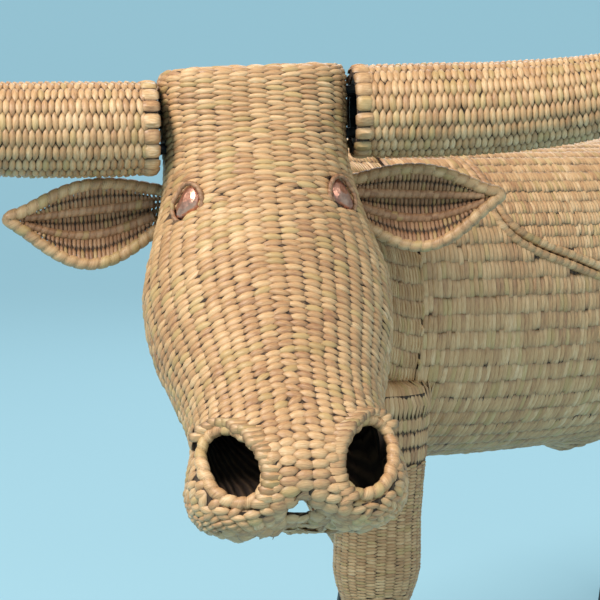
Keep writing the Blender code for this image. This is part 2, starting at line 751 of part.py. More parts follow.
def make_leg(name, hip, foot, knee_back, radii, straw, iron):
    rows = leg_rows(hip, foot, knee_back, radii)
    outer = [section(c, X, Y, r, r * 1.04, r * 1.04, sides=14) for c, r in rows]
    inner = [section(c, X, Y, r - WALL, r - WALL, r - WALL, sides=14) for c, r in rows[::2]]
    leg = sleeve(f"leg_sleeve_{name}", outer, inner, straw)
    combine(leg, cutter(skin(f"{name}_trim", barrel_rings(-LEG_TOUCH), straw)))
    if name == "front_left":
        rings = [neck_ring(row, -LEG_TOUCH) for row in through(NECK, NECK_RINGS)]
        combine(leg, cutter(skin(f"{name}_neck_trim", rings, straw)))
    low = [c for c, r in rows if c.z < LEG_ROD_TOP]
    low[-1] = low[-1] + Z * TOUCH
    rod(f"leg_rod_{name}", low, LEG_ROD, iron)
    make_hoof(f"hoof_{name}", foot, iron)


def make_hoof(name, foot, iron):
    """A cloven iron hoof, flat underneath."""
    rings = []
    for z, radius, ahead in through(HOOF, 5):
        centre = Vector((foot[0], foot[1] - ahead, min(max(z, 0.0), HOOF_TOP)))
        rings.append(section(centre, X, Y, radius, radius, radius, 2.3, sides=16))
    hoof = skin(name, rings, iron)
    front = foot[1] - HOOF[0][1] - HOOF[0][2]
    low = (foot[0] - CLEFT_WIDTH / 2, front - 0.01, -0.01)
    high = (foot[0] + CLEFT_WIDTH / 2, front + CLEFT_DEPTH, CLEFT_TOP)
    combine(hoof, cutter(box(f"{name}_cleft", low, high, iron)))


def make_tail(straw):
    rod("tail", [Vector((0, y, z)) for y, z in through(TAIL, 12)], TAIL_RADIUS, straw)
    y = TAIL[-1][0]
    rows = through(TUFT, 8)
    skin("tail_tuft", [section(Vector((0, y, z)), X, Y, r, r, r, sides=10) for z, r in rows], straw)


def new_empty(name, place, parent=None):
    empty = bpy.data.objects.new(name, None)
    bpy.context.scene.collection.objects.link(empty)
    empty.location = place
    empty.parent = parent
    return empty


def settle():
    """Parents the fixed pieces to one empty, and the moving ones to empties on their joints' axes."""
    pieces = list(bpy.data.objects)
    bull = new_empty("bull", (-CENTRE_OF_BOX[0], -CENTRE_OF_BOX[1], 0))
    middle = sum(HINGE_YS.values()) / len(HINGE_YS)
    places = {"lid": Vector((-HINGE_OUT, middle, LID_EDGE_Z))}
    for name, side in (("left", 1), ("right", -1)):
        out, ahead, level, _ = horn_row(side, HORN[0])
        places[f"horn_{name}"] = on_head(side * out, ahead, level)
    pivots = {body: new_empty(body, place, bull) for body, place in places.items()}
    owners = {name: body for body, names in MOVING.items() for name in names}
    for piece in pieces:
        if piece.name in owners:
            pivot = pivots[owners[piece.name]]
            piece.parent = pivot
            piece.matrix_parent_inverse = Matrix.Translation(-pivot.location)
        else:
            piece.parent = bull


def main():
    clear_scene()
    straw = finish("woven_rush", (0.52, 0.34, 0.17), 0.75)
    iron = finish("black_iron", (0.02, 0.02, 0.02), 0.55, 0.6)
    copper = finish("copper", (0.62, 0.27, 0.18), 0.30, 1.0)
    make_tub_and_lid(straw)
    make_edge_hoops(iron)
    make_ribs(iron)
    make_neck(straw, iron)
    make_head(straw, copper, iron)
    make_hinges(iron)
    for name, leg in LEGS.items():
        make_leg(name, *leg, straw, iron)
    make_tail(straw)
    settle()


main()
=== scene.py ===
"""The looks of a woven rush longhorn bull on an iron frame: weave, wrappings, copper eyes and iron.

Every strand of the weave is laid on a smooth surface that is measured on the frame's own shells.
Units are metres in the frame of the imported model: +Z up, the body faces -Y, its left side is +X.
"""

import json
import logging
import math
from collections.abc import Sequence
from dataclasses import dataclass
from enum import Enum

import bpy
import numpy as np
from mathutils import Matrix, Vector
from mathutils.bvhtree import BVHTree


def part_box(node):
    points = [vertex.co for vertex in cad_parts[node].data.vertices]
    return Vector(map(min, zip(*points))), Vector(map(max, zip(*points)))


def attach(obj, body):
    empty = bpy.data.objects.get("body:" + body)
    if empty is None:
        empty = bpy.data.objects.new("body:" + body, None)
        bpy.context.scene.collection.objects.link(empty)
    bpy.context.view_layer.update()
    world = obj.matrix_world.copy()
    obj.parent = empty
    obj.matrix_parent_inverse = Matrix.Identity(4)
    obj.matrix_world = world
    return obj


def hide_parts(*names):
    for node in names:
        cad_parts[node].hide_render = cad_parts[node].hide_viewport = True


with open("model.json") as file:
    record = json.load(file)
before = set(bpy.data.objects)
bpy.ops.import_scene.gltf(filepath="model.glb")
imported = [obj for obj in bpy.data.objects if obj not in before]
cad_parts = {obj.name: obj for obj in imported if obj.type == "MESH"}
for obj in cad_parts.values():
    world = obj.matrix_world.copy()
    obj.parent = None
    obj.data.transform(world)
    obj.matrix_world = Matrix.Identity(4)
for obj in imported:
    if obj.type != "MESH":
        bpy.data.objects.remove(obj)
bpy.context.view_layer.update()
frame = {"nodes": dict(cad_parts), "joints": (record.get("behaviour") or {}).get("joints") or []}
NODES = frame["nodes"]
LOG = logging.getLogger("bull")
UP = Vector((0.0, 0.0, 1.0))
STRANDS_PER_PIECE = 4200
END_SHARE = 0.40  # how far from its middle a strand is tested, as a share of its length
END_BEND = 0.64  # share of a strand's bend at those places
MOST_TIP = 0.012  # most that one end is moved down or up against the middle
Colour = tuple[float, float, float]
Socket = bpy.types.NodeSocket
Node = bpy.types.Node
Material = bpy.types.Material


class Side(Enum):
    """A side of the bull, with the sign of its left axis."""

    LEFT = 1
    RIGHT = -1

    @property
    def label(self) -> str:
        """The word used in node and piece names."""
        return self.name.lower()


class Cut(Enum):
    """The shape of a strand's visible stretch."""

    POINTED = "pointed"
    BLUNT = "blunt"
    FINE = "fine"


class Run(Enum):
    """Which way the strands of a weave run on their surface."""

    ROUND = "round"
    LENGTHWISE = "lengthwise"


# ------------------------------------------------------------------ geometry helpers


def smooth_rows(table: Sequence[Sequence[float]], count: int) -> np.ndarray:
    """Rows of a smooth curve through the rows of a table.

    Args:
        table: Rows of numbers that the curve goes through.
        count: How many rows to return, evenly over the table.

    Returns:
        An array of count rows.
    """
    rows = np.array(table, float)
    padded = np.vstack([2 * rows[0] - rows[1], rows, 2 * rows[-1] - rows[-2]])
    spots = np.linspace(0, len(rows) - 1, count)
    at = np.minimum(spots.astype(int), len(rows) - 2)
    f = (spots - at)[:, None]
    a, b, c, d = (padded[at + k] for k in range(4))
    bend = (2 * a - 5 * b + 4 * c - d) * f**2 + (3 * b - a - 3 * c + d) * f**3
    return 0.5 * (2 * b + (c - a) * f + bend)


def unit(vectors: np.ndarray) -> np.ndarray:
    """The vectors at length one, along the last axis."""
    return vectors / np.maximum(np.linalg.norm(vectors, axis=-1, keepdims=True), 1e-12)


def blurred(values: np.ndarray, sigma: float, axis: int, closed: bool) -> np.ndarray:
    """The values smoothed along one axis.

    Args:
        values: The array to smooth.
        sigma: Width of the smoothing, in samples.
        axis: The axis along which it works.
        closed: Whether that axis joins its own start.

    Returns:
        An array of the same shape.
    """
    reach = int(math.ceil(3 * sigma))
    weights = np.exp(-0.5 * (np.arange(-reach, reach + 1) / sigma) ** 2)
    weights /= weights.sum()
    pads = [(0, 0)] * values.ndim
    pads[axis] = (reach, reach)
    padded = np.pad(
        values, pads, mode="wrap" if closed else "reflect", **({} if closed else {"reflect_type": "odd"})
    )
    return np.apply_along_axis(lambda line: np.convolve(line, weights, "valid"), axis, padded)


def tree_of(*names: str) -> BVHTree:
    """A ray-casting tree over some of the frame's nodes.

    Args:
        names: The nodes to join.

    Returns:
        The tree.
    """
    points: list[Vector] = []
    faces: list[list[int]] = []
    for name in names:
        mesh = NODES[name].data
        start = len(points)
        points += [v.co.copy() for v in mesh.vertices]
        faces += [[start + i for i in p.vertices] for p in mesh.polygons]
    return BVHTree.FromPolygons(points, faces)


def rows_of(vectors: Sequence[Vector]) -> np.ndarray:
    """Vectors as the rows of an array."""
    return np.array([tuple(v) for v in vectors])


def level_rows(way: tuple[float, float, float], count: int) -> np.ndarray:
    """The same direction in every row."""
    return np.tile(way, (count, 1))


def run_length(points: np.ndarray) -> np.ndarray:
    """How far along a line each of its points is."""
    steps = np.linalg.norm(np.diff(points, axis=0), axis=1)
    return np.concatenate([[0.0], np.cumsum(steps)])


def ring_ways(ups: np.ndarray, axes: np.ndarray, turns: int) -> np.ndarray:
    """The directions of the columns round each row.

    Args:
        ups: The direction of column zero in each row, square to the axes.
        axes: The direction of each row's axis.
        turns: The number of columns.

    Returns:
        An array of rows by columns by three.
    """
    sides = np.cross(axes, ups)
    angles = np.arange(turns) * math.tau / turns
    return ups[:, None] * np.cos(angles)[None, :, None] + sides[:, None] * np.sin(angles)[None, :, None]


def corners_of(name: str) -> np.ndarray:
    """All vertices of a frame node, as rows."""
    return np.array([v.co for v in NODES[name].data.vertices], float)


@dataclass
class Surface:
    """A smooth grid of points round a form: rows go along it and columns go round it."""

    points: np.ndarray
    met: np.ndarray

    @classmethod
    def around(
        cls,
        names: Sequence[str],
        centres: np.ndarray,
        ups: np.ndarray,
        axes: np.ndarray,
        reach: float,
        turns: int = 96,
        smooth: tuple[float, float] = (4.0, 2.0),
    ) -> "Surface":
        """Measures the outer surface of some nodes round a line of centres.

        Args:
            names: The frame nodes to measure.
            centres: The middle of each row.
            ups: The direction of column zero in each row.
            axes: The direction in which the rows follow each other.
            reach: How far out the measuring starts.
            turns: The number of columns.
            smooth: Smoothing over rows and over columns, in samples.

        Returns:
            The surface, with met false where no node was found.
        """
        tree = tree_of(*names)
        ups, axes = unit(ups - axes * (ups * axes).sum(1, keepdims=True)), unit(axes)
        ways = ring_ways(ups, axes, turns)
        radii = np.full(ways.shape[:2], np.nan)
        for i, centre in enumerate(centres):
            middle = Vector(centre)
            for k in range(turns):
                way = Vector(ways[i, k])
                spot, _, _, far = tree.ray_cast(middle + way * reach, -way, reach)
                if spot is not None:
                    radii[i, k] = reach - far
        met = ~np.isnan(radii)
        for k in range(turns):
            known = met[:, k]
            if known.any():
                radii[:, k] = np.interp(np.arange(len(radii)), np.flatnonzero(known), radii[known, k])
        columns = ~np.isnan(radii).any(axis=0)
        for i in range(len(radii)):
            radii[i] = np.interp(np.arange(turns), np.flatnonzero(columns), radii[i, columns], period=turns)
        radii = blurred(blurred(radii, smooth[0], 0, False), smooth[1], 1, True)
        return cls(centres[:, None] + ways * radii[:, :, None], met)

    def capped(self, at_start: bool, at_end: bool, rows: int = 24) -> "Surface":
        """The surface with flat ends, made of its end rows drawn in towards their middles.

        Args:
            at_start: Whether the first row gets an end.
            at_end: Whether the last row gets one.
            rows: Rows in each end.

        Returns:
            The longer surface.
        """
        points, met = [self.points], [self.met]
        shares = np.linspace(0.99, 0.10, rows)
        if at_start:
            middle = self.points[0].mean(0)
            points.insert(0, np.array([middle + (self.points[0] - middle) * s for s in shares[::-1]]))
            met.insert(0, np.ones((rows, self.met.shape[1]), bool))
        if at_end:
            middle = self.points[-1].mean(0)
            points.append(np.array([middle + (self.points[-1] - middle) * s for s in shares]))
            met.append(np.ones((rows, self.met.shape[1]), bool))
        return Surface(np.concatenate(points), np.concatenate(met))

    def longer(self, rows: int) -> "Surface":
        """The surface with rows added before its first row, in a straight line.

        Args:
            rows: How many rows to add.

        Returns:
            The longer surface.
        """
        step = self.points[1] - self.points[0]
        more = np.array([self.points[0] - step * k for k in range(rows, 0, -1)])
        return Surface(
            np.concatenate([more, self.points]), np.concatenate([np.ones(more.shape[:2], bool), self.met])
        )

    def part(self, low: int, high: int) -> "Surface":
        """Some of the rows."""
        return Surface(self.points[low:high], self.met[low:high])

    def normals(self) -> np.ndarray:
        """Unit normals of the grid, pointing away from its middle line.

        Returns:
            A unit vector for each point of the grid.
        """
        along = np.gradient(self.points, axis=0)
        wrapped = np.concatenate([self.points[:, -1:], self.points, self.points[:, :1]], axis=1)
        around = (wrapped[:, 2:] - wrapped[:, :-2]) / 2
        normals = unit(np.cross(around, along))
        outward = self.points - self.points.mean(1, keepdims=True)
        return normals * np.sign((normals * outward).sum())

    def row_marks(
        self, pitch: tuple[float, float], weights: np.ndarray | None = None
    ) -> tuple[np.ndarray, np.ndarray]:
        """Places of courses, as row numbers with fractions.

        Args:
            pitch: Distance between courses at the first and at the last row.
            weights: How much each column counts towards the distance, or None for all alike.

        Returns:
            The row numbers, and how many rows each course takes.
        """
        steps = np.linalg.norm(np.diff(self.points, axis=0), axis=2)
        gone = np.concatenate([[0.0], np.cumsum(np.average(steps, axis=1, weights=weights))])
        marks, takes, here = [], [], pitch[0] / 2
        while here < gone[-1]:
            pace = pitch[0] + (pitch[1] - pitch[0]) * here / gone[-1]
            low, middle, high = np.interp(
                (here - pace / 2, here, here + pace / 2), gone, np.arange(len(gone))
            )
            marks.append(middle)
            takes.append(high - low)
            here += pace
        return np.array(marks), np.array(takes)


# ------------------------------------------------------------------ node trees


class Tree:
    """A Geometry Nodes tree that is built one node at a time."""

    def __init__(self, name: str) -> None:
        """Starts an empty tree with a geometry input and output.

        Args:
            name: Its name.
        """
        self.group = bpy.data.node_groups.new(name, "GeometryNodeTree")
        self.sockets: dict[str, str] = {}
        self.entry = self.group.nodes.new("NodeGroupInput")
        self.exit = self.group.nodes.new("NodeGroupOutput")
        self.input("Geometry", "NodeSocketGeometry")
        self.group.interface.new_socket("Geometry", in_out="OUTPUT", socket_type="NodeSocketGeometry")

    def input(self, name: str, kind: str) -> None:
        """Adds a named input."""
        self.sockets[name] = self.group.interface.new_socket(
            name, in_out="INPUT", socket_type=kind
        ).identifier

    def given(self, name: str) -> Socket:
        """The socket that an input's value comes from."""
        return self.entry.outputs[name]

    def node(self, kind: str, inputs: dict | None = None, **settings: object) -> Node:
        """Adds a node.

        Args:
            kind: The node's type, without its common prefix.
            inputs: Sockets or values by input name or number.
            settings: The node's properties.

        Returns:
            The node.
        """
        prefix = "" if kind.startswith(("Shader", "Function")) else "GeometryNode"
        made = self.group.nodes.new(prefix + kind)
        for key, value in settings.items():
            setattr(made, key, value)
        for key, value in (inputs or {}).items():
            if isinstance(value, Socket):
                self.group.links.new(value, made.inputs[key])
            else:
                made.inputs[key].default_value = value
        return made

    def math(self, operation: str, *values: object) -> Socket:
        """The result of one arithmetic step on sockets or numbers."""
        return self.node("ShaderNodeMath", dict(enumerate(values)), operation=operation).outputs[0]

    def stored(self, geometry: object, name: str, kind: str, domain: str, value: object) -> Socket:
        """The geometry with a named attribute stored on it."""
        made = self.node(
            "StoreNamedAttribute", {
                "Geometry": geometry, "Name": name, "Value": value
            }, data_type=kind, domain=domain
        )
        return made.outputs[0]

    def attribute(self, name: str, kind: str) -> Socket:
        """The value of a named attribute."""
        return self.node("InputNamedAttribute", {"Name": name}, data_type=kind).outputs["Attribute"]

    def end(self, geometry: object) -> None:
        """Finishes the tree with realised geometry in the given material.

        Args:
            geometry: The geometry worked on.
        """
        real = self.node("RealizeInstances", {"Geometry": geometry})
        dressed = self.node("SetMaterial", {"Geometry": real.outputs[0], "Material": self.given("Material")})
        self.group.links.new(dressed.outputs[0], self.exit.inputs[0])

    def apply(self, name: str, guide: bpy.types.Object, **values: object) -> bpy.types.Object:
        """Turns a guide object into the tree's result.

        Args:
            name: Name of the new piece.
            guide: The object that the tree works on, which is removed.
            values: The tree's inputs, with underscores for spaces.

        Returns:
            The piece, a plain mesh object.
        """
        modifier = guide.modifiers.new("tree", "NODES")
        modifier.node_group = self.group
        for key, value in values.items():
            modifier[self.sockets[key.replace("_", " ")]] = value
        bpy.context.view_layer.update()
        graph = bpy.context.evaluated_depsgraph_get()
        mesh = bpy.data.meshes.new_from_object(guide.evaluated_get(graph), depsgraph=graph)
        guide.modifiers.clear()
        bpy.data.objects.remove(guide)
        mesh.name = name
        return linked(name, mesh)


def linked(name: str, mesh: bpy.types.Mesh) -> bpy.types.Object:
    """A new object in the scene that shows a mesh.

    Args:
        name: Its name.
        mesh: The mesh to show.

    Returns:
        The object.
    """
    piece = bpy.data.objects.new(name, mesh)
    bpy.context.scene.collection.objects.link(piece)
    return piece


def stitch_tree() -> Tree:
    """The tree that lays one strand on each guide point and bends it over the surface.

    Returns:
        The finished tree.
    """
    tree = Tree("lay_strands")
    tree.input("Strand", "NodeSocketObject")
    tree.input("Tint Seed", "NodeSocketInt")
    tree.input("Material", "NodeSocketMaterial")
    strand = tree.node("ObjectInfo", {"Object": tree.given("Strand")})
    laid = tree.node(
        "InstanceOnPoints",
        {
            "Points": tree.given("Geometry"),
            "Instance": strand.outputs["Geometry"],
            "Rotation": tree.attribute("turn", "QUATERNION"),
            "Scale": tree.attribute("size", "FLOAT_VECTOR"),
        },
    )
    tint = tree.node(
        "FunctionNodeRandomValue",
        {"Seed": tree.given("Tint Seed"), "ID": tree.node("InputIndex").outputs[0]},
        data_type="FLOAT_VECTOR",
    )
    tinted = tree.stored(laid.outputs[0], "tint", "FLOAT_VECTOR", "INSTANCE", tint.outputs[0])
    real = tree.node("RealizeInstances", {"Geometry": tinted})
    drop = tree.math("MULTIPLY", tree.attribute("sag", "FLOAT"), tree.attribute("bow", "FLOAT"))
    offset = tree.node(
        "ShaderNodeVectorMath",
        {0: tree.attribute("outward", "FLOAT_VECTOR"), "Scale": tree.math("MULTIPLY", drop, -1.0)},
        operation="SCALE",
    )
    bent = tree.node("SetPosition", {"Geometry": real.outputs[0], "Offset": offset.outputs[0]})
    tree.end(bent.outputs[0])
    return tree


def winding_tree() -> Tree:
    """The tree that winds a flat strip round a guide line.

    Returns:
        The finished tree.
    """
    tree = Tree("wind_strip")
    for name in ("Radius", "Strip Width", "Groove"):
        tree.input(name, "NodeSocketFloat")
    for name in ("Sides", "Tint Seed"):
        tree.input(name, "NodeSocketInt")
    tree.input("Material", "NodeSocketMaterial")
    width = tree.given("Strip Width")
    line = tree.node("MeshToCurve", {"Mesh": tree.given("Geometry")})
    even = tree.node(
        "ResampleCurve", {"Curve": line.outputs[0], "Length": tree.math("DIVIDE", width, 8.0)}, mode="LENGTH"
    )
    run = tree.stored(
        even.outputs[0], "run", "FLOAT", "POINT", tree.node("SplineParameter").outputs["Length"]
    )
    thick = tree.math("MULTIPLY", tree.attribute("thick", "FLOAT"), tree.given("Radius"))
    circle = tree.node("CurvePrimitiveCircle", {"Resolution": tree.given("Sides"), "Radius": 1.0})
    turned = tree.stored(
        circle.outputs[0], "turned", "FLOAT", "POINT", tree.node("SplineParameter").outputs["Factor"]
    )
    swept = tree.node(
        "CurveToMesh", {"Curve": run, "Profile Curve": turned, "Scale": thick, "Fill Caps": True}
    )
    phase = tree.math(
        "ADD", tree.math("DIVIDE", tree.attribute("run", "FLOAT"), width), tree.attribute("turned", "FLOAT")
    )
    across = tree.math("FRACT", phase)
    edge = tree.math("ABSOLUTE", tree.math("SUBTRACT", tree.math("MULTIPLY", across, 2.0), 1.0))
    depth = tree.math(
        "MULTIPLY", tree.math("POWER", edge, 5.0), tree.math("MULTIPLY", tree.given("Groove"), -1.0)
    )
    strand = tree.node("ShaderNodeCombineXYZ", {0: 0.5, 1: across, 2: tree.attribute("turned", "FLOAT")})
    marked = tree.stored(swept.outputs[0], "strand", "FLOAT_VECTOR", "POINT", strand.outputs[0])
    tint = tree.node(
        "FunctionNodeRandomValue",
        {"Seed": tree.given("Tint Seed"), "ID": tree.math("FLOOR", phase)},
        data_type="FLOAT_VECTOR",
    )
    tinted = tree.stored(marked, "tint", "FLOAT_VECTOR", "POINT", tint.outputs[0])
    normal = tree.node("InputNormal").outputs[0]
    offset = tree.node("ShaderNodeVectorMath", {0: normal, "Scale": depth}, operation="SCALE")
    grooved = tree.node("SetPosition", {"Geometry": tinted, "Offset": offset.outputs[0]})
    smooth = tree.node("SetShadeSmooth", {"Geometry": grooved.outputs[0]})
    tree.end(smooth.outputs[0])
    return tree


def strand_object(lengthwise_cuts: Sequence[tuple[float, float, float]]) -> bpy.types.Object:
    """One strand's visible stretch: a closed lozenge of unit length, width and height.

    Args:
        lengthwise_cuts: Place along, share of the width and height of each cross-section.

    Returns:
        A helper object, removed at the end.
    """
    across = ((-0.5, -0.35), (-0.30, 0.80), (0.22, 0.94), (0.5, -0.35))
    points, marks, bows = [], [], []
    for x, wide, high in lengthwise_cuts:
        for y, z in across:
            sunk = min(high, 0.0)
            top = z * max(high, 0.0) + sunk
            points.append((x, y * wide, top if z > 0 else min(z, sunk - 0.3)))
            marks.append((x + 0.5, y + 0.5, x + 0.5))
            bows.append(4 * x * x)
    faces = [[3, 2, 1, 0]]
    last = len(lengthwise_cuts) - 1
    for i in range(last):
        for k in range(4):
            after = (k + 1) % 4
            faces.append([i * 4 + k, i * 4 + after, i * 4 + 4 + after, i * 4 + 4 + k])
    faces.append([last * 4 + k for k in range(4)])
    mesh = bpy.data.meshes.new("strand")
    mesh.from_pydata(points, [], faces)
    mesh.shade_smooth()
    mesh.set_sharp_from_angle(angle=math.radians(75))
    mesh.attributes.new("strand", "FLOAT_VECTOR", "POINT").data.foreach_set("vector", np.ravel(marks))
    mesh.attributes.new("bow", "FLOAT", "POINT").data.foreach_set("value", bows)
    return linked("strand", mesh)


class Loom:
    """The helper strands and node trees that all pieces share."""

    def __init__(self) -> None:
        """Builds the trees and the helper strands."""
        self.stitches = stitch_tree()
        self.winding = winding_tree()
        self.long_strand = strand_object(
            (
                (-0.5, 0.12, -0.30),
                (-0.33, 0.62, 0.45),
                (-0.12, 0.97, 0.95),
                (0.10, 0.99, 1.0),
                (0.31, 0.68, 0.50),
                (0.5, 0.12, -0.30),
            )
        )
        self.blunt_strand = strand_object(
            (
                (-0.5, 0.60, -0.20),
                (-0.38, 0.92, 0.62),
                (-0.13, 1.0, 1.0),
                (0.14, 1.0, 1.0),
                (0.38, 0.92, 0.62),
                (0.5, 0.60, -0.20),
            )
        )
        self.fine_strand = strand_object(
            ((-0.5, 0.30, -0.25), (-0.22, 0.96, 0.90), (0.22, 0.96, 0.90), (0.5, 0.30, -0.25))
        )
        self.seed = 0

    def lay(self, name: str, body: str, laid: "Laid", material: Material, cut: Cut = Cut.POINTED) -> None:
        """Makes the pieces of a weave, each small enough to stay whole.

        Args:
            name: Start of the pieces' names.
            body: The body that they ride on.
            laid: Where the strands lie.
            material: Their finish.
            cut: The shape of the strands, pointed if none is given.
        """
        strand = {Cut.BLUNT: self.blunt_strand, Cut.FINE: self.fine_strand}.get(cut, self.long_strand)
        parts = max(1, math.ceil(len(laid.places) / STRANDS_PER_PIECE))
        for i, pick in enumerate(np.array_split(np.arange(len(laid.places)), parts)):
            label = name if parts == 1 else f"{name}_{i + 1}"
            self.seed += 1
            guide = laid.picked(pick).guide(label)
            piece = self.stitches.apply(label, guide, Strand=strand, Tint_Seed=self.seed, Material=material)
            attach(piece, body)
            LOG.info("%s: %d strands, %d faces", label, len(pick), len(piece.data.polygons))

    def wind(
        self,
        name: str,
        body: str,
        path: np.ndarray,
        radius: float,
        strip: float,
        material: Material,
        closed: bool = True,
        thick: np.ndarray | None = None,
        groove: float = 0.0011,
        sides: int = 14,
    ) -> bpy.types.Object:
        """Winds a flat strip round a line.

        Args:
            name: The piece's name.
            body: The body that it rides on.
            path: Points of the line.
            radius: Radius of the wound roll.
            strip: Width of the strip.
            material: Its finish.
            closed: Whether the line joins its own start.
            thick: Share of the radius at each point, or None.
            groove: Depth of the line between neighbouring turns.
            sides: Sides of the roll.

        Returns:
            The piece.
        """
        count = len(path)
        mesh = bpy.data.meshes.new(name + "_line")
        edges = [(i, i + 1) for i in range(count - 1)] + ([(count - 1, 0)] if closed else [])
        mesh.from_pydata([tuple(p) for p in path], edges, [])
        shares = np.ones(count) if thick is None else thick
        mesh.attributes.new("thick", "FLOAT", "POINT").data.foreach_set("value", shares.astype(np.float32))
        self.seed += 1
        piece = self.winding.apply(
            name, linked(name + "_line", mesh), Radius=radius, Strip_Width=strip, Groove=groove,
            Sides=sides, Tint_Seed=self.seed, Material=material,
        )
        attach(piece, body)
        LOG.info("%s: %d faces", name, len(piece.data.polygons))
        return piece

    def clear(self) -> None:
        """Removes the helper strands."""
        for helper in (self.long_strand, self.blunt_strand, self.fine_strand):
            bpy.data.objects.remove(helper)


@dataclass
class Laid:
    """Where strands lie: their middles, directions, normals, sizes and bends."""

    places: np.ndarray
    alongs: np.ndarray
    outwards: np.ndarray
    sizes: np.ndarray
    sags: np.ndarray

    def picked(self, pick: np.ndarray) -> "Laid":
        """The strands at some indices, or where a mask is true."""
        return Laid(
            self.places[pick], self.alongs[pick], self.outwards[pick], self.sizes[pick], self.sags[pick]
        )

    def joined(self, other: "Laid") -> "Laid":
        """These strands and some others."""
        pairs = zip(vars(self).values(), vars(other).values(), strict=True)
        return Laid(*(np.concatenate(pair) for pair in pairs))

    def settled(self, tree: BVHTree, slack: float = 0.0015, far: float = 0.034, most: float = 0.02) -> "Laid":
        """The strands laid onto a shell wherever the smooth surface leaves it.

        Args:
            tree: The shell.
            slack: Difference that is left as it is.
            far: How far out the measuring starts.
            most: How deep below the strand the shell may be.

        Returns:
            The strands that have the shell under them.
        """
        kept = []
        for i, place in enumerate(self.places):
            out = Vector(self.outwards[i])
            half = Vector(self.alongs[i]) * float(self.sizes[i, 0]) * END_SHARE
            sag = float(self.sags[i])
            drops = []
            bend = out * sag * END_BEND
            for spot in (Vector(place), Vector(place) - half - bend, Vector(place) + half - bend):
                hit = tree.ray_cast(spot + out * far, -out, far + most)[3]
                drops.append(None if hit is None else hit - far)
            if drops[0] is None:
                continue
            kept.append(i)
            known = [0.0 if d is None else d for d in drops]
            if max(abs(d) for d in known) <= slack:
                self.places[i] = place + np.array(out) * max(0.0, -min(known))
                continue
            first, last = (known[0] + max(-MOST_TIP, min(MOST_TIP, d - known[0])) for d in known[1:])
            ahead = half * 2 - out * (last - first)
            self.places[i] = place - np.array(out) * (known[0] - 0.0006)
            self.alongs[i] = ahead.normalized()
            self.outwards[i] = (out - ahead.normalized() * out.dot(ahead.normalized())).normalized()
            self.sags[i] = sag + ((first + last) / 2 - known[0]) / END_BEND
        return self.picked(np.array([i for i in kept if self.touches(tree, i)], int))

    def touches(self, tree: BVHTree, i: int) -> bool:
        """Whether a strand lies on a shell at its middle and near both ends.

        Args:
            tree: The shell.
            i: The strand's number.

        Returns:
            True where it lies on the shell.
        """
        place, half = Vector(self.places[i]), Vector(self.alongs[i]) * float(self.sizes[i, 0]) * END_SHARE
        drop = Vector(self.outwards[i]) * float(self.sags[i]) * END_BEND
        return tree.find_nearest(place)[3] < 0.006 and all(
            tree.find_nearest(place + side * half - drop)[3] < 0.009 for side in (-1, 1)
        )

    def guide(self, name: str) -> bpy.types.Object:
        """A cloud of points that carries the strands' turns, sizes and bends.

        Args:
            name: Its name.

        Returns:
            The cloud, a mesh object without faces.
        """
        mesh = bpy.data.meshes.new(name + "_guide")
        mesh.from_pydata([tuple(p) for p in self.places], [], [])
        outs = unit(self.outwards)
        alongs = unit(self.alongs - outs * (self.alongs * outs).sum(1, keepdims=True))
        across = np.cross(outs, alongs)
        turns = [
            Matrix((a, b, c)).transposed().to_quaternion()
            for a, b, c in zip(alongs, across, outs, strict=True)
        ]
        fields = (
            ("turn", "QUATERNION", "value", np.array([tuple(q) for q in turns])),
            ("size", "FLOAT_VECTOR", "vector", self.sizes),
            ("outward", "FLOAT_VECTOR", "vector", outs),
            ("sag", "FLOAT", "value", self.sags),
        )
        for label, kind, key, values in fields:
            data = mesh.attributes.new(label, kind, "POINT").data
            data.foreach_set(key, np.ravel(values).astype(np.float32))
        return linked(name + "_guide", mesh)


